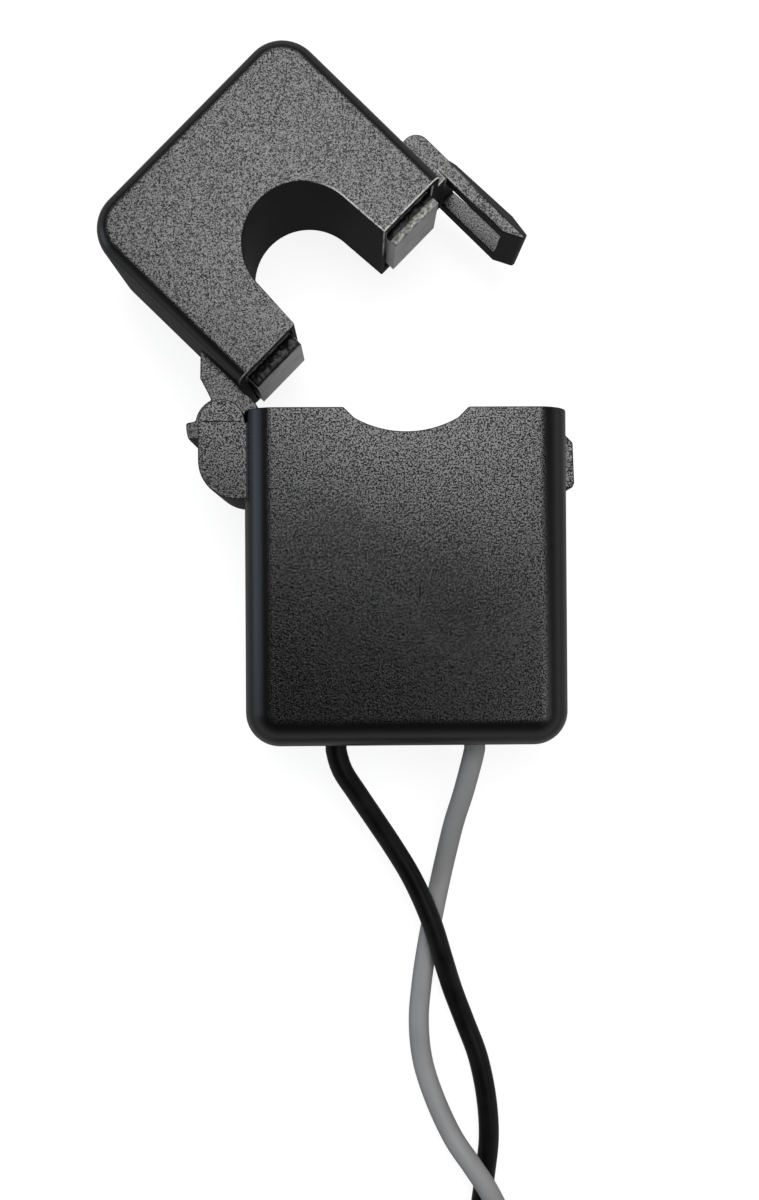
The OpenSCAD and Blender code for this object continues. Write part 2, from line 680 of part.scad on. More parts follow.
// A route in the part's own frame, with the straight start that passes through the seal
function laid(route, side) = concat(
  [[side * lead_pitch / 2, lead_start_y + body_h / 2, body_d / 2],
    [side * lead_pitch / 2, -body_h / 2, body_d / 2]],
  [for (p = route) [p[0], p[1] - body_h / 2, p[2]]]);

// The free ends lie on top of the coil, along its turns
function end_route(r) = [for (a = end_angles)
  [coil_x + r * cos(a), coil_y - body_h / 2 + r * sin(a), coil_height + lead_r]];

module lead_black() color([0.05, 0.05, 0.05]) {
  swept_lead(laid(black_route, -1));
  swept_lead(end_route(coil_r - turn_pitch));
}

module lead_white() color([0.7, 0.7, 0.7]) {
  swept_lead(laid(white_route, 1));
  swept_lead(end_route(coil_r + turn_pitch));
}

// Outer shape of the coiled leads
module lead_coil() color([0.3, 0.3, 0.3]) translate([coil_x, coil_y - body_h / 2, 0]) {
  r = 2 * lead_r;
  difference() {
    rotate_extrude() translate([coil_r - coil_width / 2, 0]) {
      translate([r, 0]) square([coil_width - 2 * r, coil_height]);
      translate([0, r]) square([coil_width, coil_height - 2 * r]);
      for (x = [r, coil_width - r], z = [r, coil_height - r]) translate([x, z]) circle(r);
    }
    tie_strap();
  }
}

// The tie's strap, drawn into the coil along its bottom and sides and standing proud on top
module tie_strap() rotate([0, 0, tie_angle]) translate([coil_r, tie_w / 2, 0]) rotate([90, 0, 0])
  linear_extrude(tie_w) difference() {
    translate([-coil_width / 2 - tie_t, 0]) square([coil_width + 2 * tie_t, coil_height + tie_t]);
    translate([-coil_width / 2, tie_t]) square([coil_width, coil_height - tie_t]);
  }

module lead_tie() color([0.9, 0.9, 0.88]) translate([coil_x, coil_y - body_h / 2, 0]) tie_strap();

module tip(r) {
  a = end_angles[len(end_angles) - 1];
  translate([coil_x + r * cos(a), coil_y - body_h / 2 + r * sin(a), coil_height + lead_r])
    rotate([0, 0, (end_angles[len(end_angles) - 2] + a) / 2 - 90]) rotate([0, 90, 0])
      cylinder(d = tip_d, h = tip_len);
}

module black_tip() color(tin) tip(coil_r - turn_pitch);
module white_tip() color(tin) tip(coil_r + turn_pitch);

lower_case();
lower_cover();
hinge_pin();
lower_core();
bobbin_front();
bobbin_back();
winding();
winding_tape();
coil_tails();
terminal_board();
burden_resistor();
solder_joints();
lead_seals();
upper_case();
upper_core();
core_spring();
pole_glue();
lead_black();
lead_white();
lead_coil();
lead_tie();
black_tip();
white_tip();
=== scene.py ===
"""Looks of a split-core current transformer: a hinged textured case, a cut core, a snap loop
and two leads that are put away in a tied coil.

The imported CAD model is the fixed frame. Lengths in the classes are in millimetres; meshes are
made in metres. Places on the upper half are written as if the case were closed, with X across,
Y up from the parting line and Z out of the front from mid depth, and are swung open about the
hinge when they are used.
"""

from __future__ import annotations

import logging
import math
from collections.abc import Callable, Sequence
from dataclasses import dataclass
from enum import Enum

import bmesh
import bpy
from mathutils import Matrix, Vector, noise
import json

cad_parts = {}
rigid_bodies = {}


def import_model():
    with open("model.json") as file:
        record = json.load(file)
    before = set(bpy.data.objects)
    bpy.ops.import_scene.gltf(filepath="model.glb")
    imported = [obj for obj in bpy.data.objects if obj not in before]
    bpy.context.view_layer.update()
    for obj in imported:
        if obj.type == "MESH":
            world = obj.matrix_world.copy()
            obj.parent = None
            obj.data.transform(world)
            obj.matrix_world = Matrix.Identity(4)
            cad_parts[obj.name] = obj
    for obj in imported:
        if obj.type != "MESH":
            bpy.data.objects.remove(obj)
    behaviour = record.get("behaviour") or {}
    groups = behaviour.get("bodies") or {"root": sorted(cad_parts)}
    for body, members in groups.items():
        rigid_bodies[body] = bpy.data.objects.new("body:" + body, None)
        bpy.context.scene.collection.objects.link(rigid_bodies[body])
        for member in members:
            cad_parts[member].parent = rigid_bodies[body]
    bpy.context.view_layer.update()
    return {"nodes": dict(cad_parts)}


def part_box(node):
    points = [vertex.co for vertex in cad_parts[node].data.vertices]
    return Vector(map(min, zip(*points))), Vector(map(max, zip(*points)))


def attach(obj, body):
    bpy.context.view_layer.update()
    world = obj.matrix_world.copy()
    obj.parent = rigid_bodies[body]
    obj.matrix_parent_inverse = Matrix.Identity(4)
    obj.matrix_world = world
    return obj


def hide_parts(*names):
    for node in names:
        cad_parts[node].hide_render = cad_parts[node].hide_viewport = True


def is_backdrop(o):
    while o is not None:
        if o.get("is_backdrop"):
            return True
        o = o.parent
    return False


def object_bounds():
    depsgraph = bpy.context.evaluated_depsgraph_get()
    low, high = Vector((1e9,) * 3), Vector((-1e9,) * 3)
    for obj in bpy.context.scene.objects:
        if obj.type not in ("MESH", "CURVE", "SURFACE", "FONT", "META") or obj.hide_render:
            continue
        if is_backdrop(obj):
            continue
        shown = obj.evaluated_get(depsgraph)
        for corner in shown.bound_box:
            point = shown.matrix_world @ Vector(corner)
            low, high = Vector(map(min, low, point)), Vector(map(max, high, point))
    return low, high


LOG = logging.getLogger("current_transformer")
MM = 0.001
LOWER = "lower_half"
UPPER = "upper_half"
Point = tuple[float, float, float]
Colour = tuple[float, float, float]
Span = tuple[float, float]
Frames = list[tuple[Vector, Vector, Vector]]
HINGE = Vector((-14.4, -1.0, 0.0))  # the pin's axis, from the middle of the parting line
CASE_UP = Vector((0.0, 13.2, 6.25))  # the parting line's middle in the row frame
OPEN_ANGLE = math.radians(45.5)


def swing(point: Point) -> Point:
    """Takes a place on the closed upper half to where it is with the case open.

    Args:
        point: X across, Y up from the parting line, Z out from mid depth, in millimetres.

    Returns:
        The place in the row frame, in millimetres.
    """
    return tuple(Matrix.Rotation(OPEN_ANGLE, 3, "Z") @ (Vector(point) - HINGE) + HINGE + CASE_UP)


def grey(level: float) -> Colour:
    """Gives a grey."""
    return (level, level, level)


def ease(share: float) -> float:
    """Takes a share from 0 to 1 to the same ends, with a smooth start and finish."""
    return share * share * (3 - 2 * share)


# ---- Node trees --------------------------------------------------------------------------------


@dataclass(eq=False)
class Value:
    """A number that a node gives out. Arithmetic on it adds the Math nodes it needs."""

    tree: "Tree"
    socket: bpy.types.NodeSocket

    def _with(self, operation: str, other: "Value | float", turned: bool = False) -> "Value":
        """Joins this value with another in one Math node.

        Args:
            operation: The Math node's operation.
            other: The second value.
            turned: True where the other value comes first.

        Returns:
            The result.
        """
        pair = (other, self) if turned else (self, other)
        node = self.tree.add("ShaderNodeMath", {"operation": operation}, {0: pair[0], 1: pair[1]})
        return Value(self.tree, node.outputs[0])

    def __add__(self, other: "Value | float") -> "Value":
        """Adds."""
        return self._with("ADD", other)

    __radd__ = __add__

    def __sub__(self, other: "Value | float") -> "Value":
        """Subtracts."""
        return self._with("SUBTRACT", other)

    def __rsub__(self, other: "Value | float") -> "Value":
        """Subtracts this value from a number."""
        return self._with("SUBTRACT", other, True)

    def __mul__(self, other: "Value | float") -> "Value":
        """Multiplies."""
        return self._with("MULTIPLY", other)

    __rmul__ = __mul__

    def __truediv__(self, other: "Value | float") -> "Value":
        """Divides."""
        return self._with("DIVIDE", other)

    def __rtruediv__(self, other: "Value | float") -> "Value":
        """Divides a number by this value."""
        return self._with("DIVIDE", other, True)

    def __abs__(self) -> "Value":
        """Drops the sign."""
        return self._with("ABSOLUTE", 0.0)

    def step(self, low: float, high: float) -> "Value":
        """Rises smoothly from 0 to 1.

        Args:
            low: The value up to which the result is 0.
            high: The value from which it is 1.

        Returns:
            The result.
        """
        node = self.tree.add(
            "ShaderNodeMapRange",
            {"interpolation_type": "SMOOTHSTEP"},
            {"Value": self, "From Min": low, "From Max": high},
        )
        return Value(self.tree, node.outputs["Result"])


@dataclass(eq=False)
class Tree:
    """A shader or geometry node tree that is being put together."""

    tree: bpy.types.NodeTree

    def add(
        self,
        kind: str,
        settings: dict[str, object] | None = None,
        inputs: dict[str | int, object] | None = None,
    ) -> bpy.types.Node:
        """Adds one node.

        Args:
            kind: The node's type.
            settings: Its properties, set first.
            inputs: Numbers, colours, Values or sockets for its inputs, by name or place.

        Returns:
            The node.
        """
        node = self.tree.nodes.new(kind)
        for name, value in (settings or {}).items():
            setattr(node, name, value)
        for name, value in (inputs or {}).items():
            self.feed(node.inputs[name], value)
        return node

    def feed(self, socket: bpy.types.NodeSocket, value: object) -> None:
        """Sets or links one input.

        Args:
            socket: The input.
            value: What it gets.
        """
        if isinstance(value, Value):
            self.tree.links.new(value.socket, socket)
        elif isinstance(value, bpy.types.NodeSocket):
            self.tree.links.new(value, socket)
        elif isinstance(value, tuple) and socket.type == "RGBA" and len(value) == 3:
            socket.default_value = (*value, 1.0)
        else:
            socket.default_value = value

    def value(self, kind: str, settings: dict, inputs: dict, output: str | int = 0) -> Value:
        """Adds a node and gives one of its outputs as a Value.

        Args:
            kind: The node's type.
            settings: Its properties.
            inputs: Its inputs.
            output: Which output to take.

        Returns:
            The output.
        """
        return Value(self, self.add(kind, settings, inputs).outputs[output])


@dataclass(frozen=True)
class Mark:
    """A thin straight mark in a surface, between two places in the row frame."""

    start: Point
    end: Point
    width: float
    tone: Colour = (0.2, 0.2, 0.19)


class Shader(Tree):
    """A material's tree, with the nodes that most finishes share."""

    def __init__(self, name: str) -> None:
        """Starts a material with a Principled surface.

        Args:
            name: The material's name.
        """
        self.material = bpy.data.materials.new(name)
        self.material.use_nodes = True
        super().__init__(self.material.node_tree)
        self.surface = self.tree.nodes["Principled BSDF"]
        self.place = self.add("ShaderNodeTexCoord").outputs["Object"]

    def noise(self, size: float, detail: float = 2.0, roughness: float = 0.5) -> Value:
        """Noise whose lumps are about size millimetres across.

        Args:
            size: How far apart the lumps are, in millimetres.
            detail: How many finer layers it has.
            roughness: How strong they are.

        Returns:
            The noise, from 0 to 1.
        """
        return self.value(
            "ShaderNodeTexNoise",
            {},
            {"Vector": self.place, "Scale": 1 / (size * MM), "Detail": detail, "Roughness": roughness},
        )

    def stretched(self, size: Point) -> Value:
        """Noise whose lumps are longer one way than another.

        Args:
            size: How far apart the lumps are along X, Y and Z, in millimetres.

        Returns:
            The noise, from 0 to 1.
        """
        scaled = self.add(
            "ShaderNodeMapping",
            {"vector_type": "POINT"},
            {"Vector": self.place, "Scale": tuple(1 / (s * MM) for s in size)},
        )
        return self.value(
            "ShaderNodeTexNoise", {}, {"Vector": scaled.outputs[0], "Scale": 1.0, "Detail": 2.0}
        )

    def mix(self, share: Value | float, first: object, second: object) -> bpy.types.NodeSocket:
        """Mixes two colours.

        Args:
            share: How much of the second one shows.
            first: A colour or a colour socket.
            second: Another.

        Returns:
            The mixed colour.
        """
        node = self.add("ShaderNodeMix", {"data_type": "RGBA"}, {0: share, 6: first, 7: second})
        return node.outputs[2]

    def distance(self, point: Point) -> Value:
        """How far the surface is from a point in the row frame, in millimetres.

        Args:
            point: The point, in millimetres.

        Returns:
            The distance.
        """
        away = self.value(
            "ShaderNodeVectorMath",
            {"operation": "DISTANCE"},
            {0: self.place, 1: tuple(c * MM for c in point)},
            "Value",
        )
        return away * (1 / MM)

    def streak(self, mark: Mark) -> Value:
        """A mask of one thin mark.

        Args:
            mark: The mark.

        Returns:
            1 on the mark, 0 away from it.
        """
        start, end = Vector(mark.start) * MM, Vector(mark.end) * MM
        span = end - start
        vector = "ShaderNodeVectorMath"
        off = self.add(vector, {"operation": "SUBTRACT"}, {0: self.place, 1: tuple(start)}).outputs[0]
        along = self.value(vector, {"operation": "DOT_PRODUCT"}, {0: off, 1: tuple(span)}, "Value")
        share = self.value("ShaderNodeClamp", {}, {0: along * (1 / span.length_squared)})
        foot = self.add(vector, {"operation": "SCALE"}, {0: tuple(span), "Scale": share}).outputs[0]
        away = self.value(vector, {"operation": "DISTANCE"}, {0: off, 1: foot}, "Value")
        return 1 - away.step(0.5 * mark.width * MM, mark.width * MM)

    def bump(self, height: Value, depth: float) -> bpy.types.NodeSocket:
        """Turns a height from 0 to 1 into a bumpy normal.

        Args:
            height: The height.
            depth: How deep the bumps are, in millimetres.

        Returns:
            The normal.
        """
        return self.add(
            "ShaderNodeBump", {}, {"Height": height, "Distance": depth * MM, "Strength": 1.0}
        ).outputs["Normal"]

    def finish(self, **inputs: object) -> bpy.types.Material:
        """Sets the surface's inputs, whose spaces are written as underscores.

        Args:
            inputs: Values, colours or sockets.

        Returns:
            The finished material.
        """
        for name, value in inputs.items():
            self.feed(self.surface.inputs[name.replace("_", " ")], value)
        return self.material


# ---- Finishes ----------------------------------------------------------------------------------


@dataclass(frozen=True)
class MouldedPlastic:
    """Black moulded plastic: spark-eroded grain on the flat faces, smoother round the fillets.

    A face's kind comes from how far its normal points along Z: 1 is flat, 0 is a wall.
    """

    name: str
    colour: Colour = (0.001, 0.001, 0.001)
    bright: Colour = (0.011, 0.011, 0.0102)
    grain: float = 0.15
    depth: float = 0.034
    fleck_size: float = 0.1
    fleck_span: Span = (0.24, 0.76)
    flat_from: Span = (0.965, 0.999)
    fillet_from: Span = (0.15, 0.5)
    wall_until: Span = (0.08, 0.4)
    wall_roughness: float = 0.24
    fillet_gloss: float = 0.25
    base_gloss: float = 0.14
    fleck_roughness: float = 0.28
    fleck_index: float = 1.68
    face_roughness: float = 0.26
    fillet_roughness: float = 0.34
    marks: tuple[Mark, ...] = ()
    # Whitish edge spots, as place, reach and share: rub wear and painted highlight.
    rub_and_highlight_spots: tuple[tuple[Point, float, float], ...] = ()

    def make(self) -> bpy.types.Material:
        """Builds the material.

        Returns:
            The material.
        """
        shader = Shader(self.name)
        normal = shader.add("ShaderNodeTexCoord").outputs["Normal"]
        facing = abs(shader.value("ShaderNodeSeparateXYZ", {}, {0: normal}, "Z"))
        flat = facing.step(*self.flat_from)
        wall = 1 - facing.step(*self.wall_until)
        speckle = shader.noise(self.grain, 0.0)
        flecks = shader.noise(self.fleck_size, 0.0).step(*self.fleck_span)
        patches = shader.noise(6.0, 2.0)
        height = speckle * (flat * 0.85 + 0.15)
        colour = shader.mix(flecks * (flat * 0.9 + 0.1), self.colour, self.bright)
        colour = shader.mix(patches.step(0.35, 0.75) * 0.25, colour, tuple(0.6 * c for c in self.colour))
        rough = flat * (self.face_roughness - self.fillet_roughness) + self.fillet_roughness
        rough = rough + wall * self.wall_roughness
        # Whitish spots on the bevelled edges round given places: partly rub wear, partly painted highlight
        # for the bright lines those edges catch.
        if self.rub_and_highlight_spots:
            spots = shader.noise(0.5, 3.0, 0.7).step(0.28, 0.5)
            for place, reach, share in self.rub_and_highlight_spots:
                rubbed_and_highlit = spots * (1 - shader.distance(place).step(0.6 * reach, reach)) * share
                colour = shader.mix(rubbed_and_highlit, colour, (0.75, 0.75, 0.72))
        gloss = flecks * flat + (1 - flat) * facing.step(*self.fillet_from) * self.fillet_gloss
        for mark in self.marks:
            shown = shader.streak(mark) * shader.noise(0.4, 1.0).step(0.25, 0.45)
            colour = shader.mix(shown, colour, mark.tone)
            gloss = gloss * (1 - shown)
            rough = rough + shown * 0.2
        return shader.finish(
            Base_Color=colour,
            Roughness=rough + patches * 0.06,
            Specular_IOR_Level=self.base_gloss,
            Coat_Weight=gloss,
            Coat_Roughness=self.fleck_roughness,
            Coat_IOR=self.fleck_index,
            Normal=shader.bump(height, self.depth),
        )


@dataclass(frozen=True)
class GroundSteel:
    """Core steel, ground flat: satin grey with fine lines along one way."""

    name: str
    colour: Colour = (0.51, 0.52, 0.51)
    stain: Colour = (0.33, 0.33, 0.32)
    lines: Point = (0.06, 0.06, 2.5)
    roughness: float = 0.42
    metallic: float = 0.5

    def make(self) -> bpy.types.Material:
        """Builds the material.

        Returns:
            The material.
        """
        shader = Shader(self.name)
        lines = shader.stretched(self.lines)
        stain = shader.noise(1.4, 3.0, 0.6)
        colour = shader.mix(stain.step(0.45, 0.8) * 0.7, self.colour, self.stain)
        return shader.finish(
            Base_Color=colour,
            Metallic=self.metallic,
            Roughness=stain * 0.15 + lines * 0.1 + (self.roughness - 0.12),
            Normal=shader.bump(lines, 0.006),
        )


@dataclass(frozen=True)
class PlainFinish:
    """A finish with a colour, a second colour in patches and a fine bump."""

    name: str
    colour: Colour
    second: Colour
    patch: float = 1.0
    grain: float = 0.2
    depth: float = 0.01
    roughness: float = 0.4
    metallic: float = 0.0
    gloss: float = 0.5

    def make(self) -> bpy.types.Material:
        """Builds the material.

        Returns:
            The material.
        """
        shader = Shader(self.name)
        patches = shader.noise(self.patch, 3.0, 0.6)
        grain = shader.noise(self.grain)
        return shader.finish(
            Base_Color=shader.mix(patches.step(0.3, 0.7), self.colour, self.second),
            Metallic=self.metallic,
            Specular_IOR_Level=self.gloss,
            Roughness=patches * 0.12 + (self.roughness - 0.06),
            Normal=shader.bump(grain, self.depth),
        )


@dataclass(frozen=True)
class BandedLacquer:
    """A resistor's lacquer with painted rings."""

    name: str
    colour: Colour = (0.16, 0.36, 0.55)
    rings: tuple[tuple[float, Colour], ...] = (
        (-1.9, (0.25, 0.1, 0.03)),
        (-1.1, (0.01, 0.01, 0.01)),
        (-0.3, (0.01, 0.01, 0.01)),
        (1.7, (0.5, 0.33, 0.06)),
    )
    half_width: float = 0.2

    def make(self) -> bpy.types.Material:
        """Builds the material.

        Returns:
            The material.
        """
        shader = Shader(self.name)
        across = shader.value("ShaderNodeSeparateXYZ", {}, {0: shader.place}, "X") * (1 / MM)
        wavy = across + shader.noise(0.8) * 0.06
        colour = shader.mix(shader.noise(1.5).step(0.3, 0.7) * 0.3, self.colour, (0.12, 0.3, 0.5))
        for place, paint in self.rings:
            off = abs(wavy - place)
            colour = shader.mix(1 - off.step(self.half_width, self.half_width + 0.05), colour, paint)
        return shader.finish(
            Base_Color=colour,
            Roughness=shader.noise(1.0) * 0.1 + 0.2,
            Normal=shader.bump(shader.noise(0.3), 0.008),
        )


@dataclass(frozen=True)
class CircuitBoard:
    """Solder mask over copper tracks that run up from the two lead pads to the winding's ends."""

    name: str
    mask: Colour = (0.012, 0.1, 0.04)
    over_copper: Colour = (0.03, 0.19, 0.075)
    track_x: tuple[float, ...] = (-5.7, -2.5, 2.5, 5.7)
    half_width: float = 0.45

    def make(self) -> bpy.types.Material:
        """Builds the material.

        Returns:
            The material.
        """
        shader = Shader(self.name)
        across = shader.value("ShaderNodeSeparateXYZ", {}, {0: shader.place}, "X") * (1 / MM)
        weave = shader.noise(0.35)
        colour = shader.mix(weave.step(0.35, 0.65) * 0.3, self.mask, (0.009, 0.075, 0.03))
        raised: Value | float = weave * 0.15
        for x in self.track_x:
            track = 1 - abs(across - x).step(self.half_width, self.half_width + 0.06)
            colour = shader.mix(track, colour, self.over_copper)
            raised = raised + track
        bump = shader.bump(raised, 0.02)
        return shader.finish(Base_Color=colour, Roughness=weave * 0.08 + 0.24, Normal=bump)


MADE: dict[str, bpy.types.Material] = {}


class Finish(Enum):
    """The finishes, each made once when it is first asked for."""

    CASE = MouldedPlastic(
        "case_plastic",
        fleck_size=0.12,
        fleck_span=(0.37, 0.63),
        fleck_roughness=0.25,
        face_roughness=0.235,
        marks=(
            Mark((0.97, -0.8, 12.5), (0.97, -1.5, 12.5), 0.12, (0.0, 0.0, 0.0)),
            Mark((-15.9, 12.3, 11.25), (-12.9, 12.3, 11.25), 0.07, (0.0, 0.0, 0.0)),
        ),
    )
    CASE_EDGE = MouldedPlastic("case_plastic_edge", fillet_roughness=0.25)
    LID = MouldedPlastic(
        "lid_plastic",
        marks=(
            Mark(swing((-10.3, 2.6, 6.0)), swing((-8.6, 1.8, 6.0)), 0.05),
            Mark(swing((-8.6, 1.8, 6.0)), swing((-6.0, 0.6, 6.0)), 0.04),
        ),
    )
    LID_EDGE = MouldedPlastic(
        "lid_plastic_edge",
        fillet_roughness=0.25,
        # Whitish spots on the mating edges of both arms: rub wear and painted highlight.
        rub_and_highlight_spots=((swing((7.0, 0.6, 6.0)), 7.5, 1.0), (swing((-8.0, 0.0, 6.0)), 4.5, 0.3)),
    )
    COVER = MouldedPlastic("cover_plastic", depth=0.008, face_roughness=0.3)
    CORE = GroundSteel("core_steel")
    PIN = GroundSteel("pin_steel", colour=(0.6, 0.6, 0.59), roughness=0.28, metallic=1.0)
    SPRING = GroundSteel("spring_steel", colour=(0.55, 0.56, 0.57), lines=(2.0, 0.05, 0.05), roughness=0.3)
    BOBBIN = PlainFinish("bobbin_nylon", (0.72, 0.7, 0.62), (0.66, 0.63, 0.54), roughness=0.45)
    WIRE = PlainFinish(
        "enamelled_wire", (0.42, 0.15, 0.04), (0.36, 0.11, 0.03), roughness=0.22, metallic=0.6
    )
    TAPE = PlainFinish("winding_tape", (0.7, 0.5, 0.06), (0.62, 0.43, 0.05), depth=0.004, roughness=0.25)
    BOARD = CircuitBoard("solder_mask")
    RESISTOR = BandedLacquer("resistor_lacquer")
    SOLDER = PlainFinish("solder", (0.72, 0.71, 0.68), (0.6, 0.6, 0.58), 1.0, 0.1, 0.01, 0.24, 1.0)
    RESIN = PlainFinish("sealing_resin", (0.03, 0.03, 0.03), (0.05, 0.05, 0.048), roughness=0.22)
    GLUE = PlainFinish("dried_glue", (0.75, 0.75, 0.7), (0.12, 0.12, 0.11), 0.3, 0.15, 0.03, 0.5)
    # Near-black painted shade: banks on the poles that stand for the shade by the shell's edge.
    PAINTED_SHADE_RIDGE = PlainFinish("painted_shade_ridge", (0.003, 0.003, 0.003), (0.012, 0.012, 0.012), 0.5, 0.2, 0.02, 0.4)
    BLACK_LEAD = PlainFinish(
        "black_vinyl", (0.002, 0.002, 0.002), (0.006, 0.006, 0.006), 3.0, 0.3, 0.004, 0.36, gloss=0.12
    )
    WHITE_LEAD = PlainFinish("white_vinyl", (0.3, 0.3, 0.3), (0.26, 0.26, 0.26), 6.0, 0.3, 0.004, 0.5)
    TIE = PlainFinish("tie_strip", (0.75, 0.75, 0.72), (0.68, 0.68, 0.64), roughness=0.4)
    TIN = PlainFinish("tinned_copper", (0.74, 0.72, 0.68), (0.6, 0.58, 0.54), 0.5, 0.1, 0.01, 0.25, 1.0)

    def material(self) -> bpy.types.Material:
        """Gives the material, making it the first time.

        Returns:
            The material.
        """
        if self.name not in MADE:
            MADE[self.name] = self.value.make()
        return MADE[self.name]


# ---- Meshes ------------------------------------------------------------------------------------


def new_piece(name: str, mesh: bpy.types.Mesh, *finishes: Finish) -> bpy.types.Object:
    """Puts a mesh in the scene at the origin.

    Args:
        name: The piece's name.
        mesh: Its mesh, in the row frame, in metres.
        finishes: Its materials, in the order of its slots.

    Returns:
        The object.
    """
    piece = bpy.data.objects.new(name, mesh)
    bpy.context.scene.collection.objects.link(piece)
    if mesh.materials:
        mesh.materials.clear()
    for finish in finishes:
        mesh.materials.append(finish.material())
    return piece


def keep(piece: bpy.types.Object, body: str, slot: str, *nodes: str) -> bpy.types.Object:
    """Makes a piece ride on its body and stand for its CAD nodes.

    Args:
        piece: The piece.
        body: The CAD body that carries it.
        slot: The record's material slot; not used.
        nodes: CAD nodes that it replaces.

    Returns:
        The piece.
    """
    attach(piece, body)
    if nodes:
        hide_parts(*nodes)
    LOG.info("%s: %d faces on %s", piece.name, len(piece.data.polygons), body)
    return piece


def made(maker: bmesh.types.BMesh, name: str, scale: float = 1.0) -> bpy.types.Mesh:
    """Ends the making of a mesh.

    Args:
        maker: What was made. It is freed.
        name: The mesh's name.
        scale: What its lengths are multiplied by to be metres.

    Returns:
        The mesh.
    """
    mesh = bpy.data.meshes.new(name)
    maker.to_mesh(mesh)
    maker.free()
    mesh.transform(Matrix.Scale(scale, 4))
    return mesh


def evaluated(piece: bpy.types.Object) -> bpy.types.Mesh:
    """Takes the modifiers off a piece.

    Args:
        piece: The piece.

    Returns:
        The mesh that its modifiers made.
    """
    mesh = bpy.data.meshes.new_from_object(piece.evaluated_get(bpy.context.evaluated_depsgraph_get()))
    piece.modifiers.clear()
    return mesh


def tube(points: Sequence[Vector], radius: float, sides: int) -> bpy.types.Mesh:
    """A round tube along a line, closed at both ends.

    Args:
        points: The line, in metres.
        radius: The tube's radius, in metres.
        sides: How many sides it has.

    Returns:
        The mesh, with a UV map that runs along the tube.
    """
    maker = bmesh.new()
    uv = maker.loops.layers.uv.new("UVMap")
    across = Vector((0, 0, 1)).cross(points[1] - points[0]).normalized()
    rings: list[list[bmesh.types.BMVert]] = []
    along = [0.0]
    for i, point in enumerate(points):
        heading = (points[min(i + 1, len(points) - 1)] - points[max(i - 1, 0)]).normalized()
        across = (across - across.dot(heading) * heading).normalized()
        up = heading.cross(across)
        turns = [2 * math.pi * k / sides for k in range(sides)]
        spokes = [math.cos(a) * across + math.sin(a) * up for a in turns]
        rings.append([maker.verts.new(point + radius * spoke) for spoke in spokes])
        if i:
            along.append(along[-1] + (point - points[i - 1]).length)
    for i in range(len(rings) - 1):
        for k in range(sides):
            places = ((k, i), (k + 1, i), (k + 1, i + 1), (k, i + 1))
            face = maker.faces.new([rings[row][around % sides] for around, row in places])
            face.smooth = True
            for loop, (around, row) in zip(face.loops, places):
                loop[uv].uv = (around / sides, along[row] / MM)
    maker.faces.new(list(reversed(rings[0])))
    maker.faces.new(rings[-1])
    return made(maker, "tube")


def smooth_line(points: Sequence[Vector], step: float, parts: int = 24) -> list[Vector]:
    """A smooth line through points, with evenly spaced points of its own.

    Args:
        points: Points that the line passes through.
        step: The distance between the new points.
        parts: How finely the way between two points is measured.

    Returns:
        The new points, with the first and last of the old ones.
    """
    fine: list[Vector] = []
    for i in range(len(points) - 1):
        p0, p1, p2 = points[max(i - 1, 0)], points[i], points[i + 1]
        p3 = points[min(i + 2, len(points) - 1)]
        slope, bend, twist = p2 - p0, 2 * p0 - 5 * p1 + 4 * p2 - p3, 3 * p1 - p0 - 3 * p2 + p3
        for t in (k / parts for k in range(parts)):
            fine.append(0.5 * (2 * p1 + slope * t + bend * t * t + twist * t * t * t))
    fine.append(points[-1])
    even = [fine[0]]
    left = step
    for a, b in zip(fine, fine[1:]):
        gone, length = 0.0, (b - a).length
        while length - gone >= left:
            gone += left
            even.append(a.lerp(b, gone / length))
            left = step
        left -= length - gone
    if (even[-1] - fine[-1]).length < 0.3 * step:
        even.pop()
    even.append(fine[-1])
    return even


# ---- Studio ------------------------------------------------------------------------------------


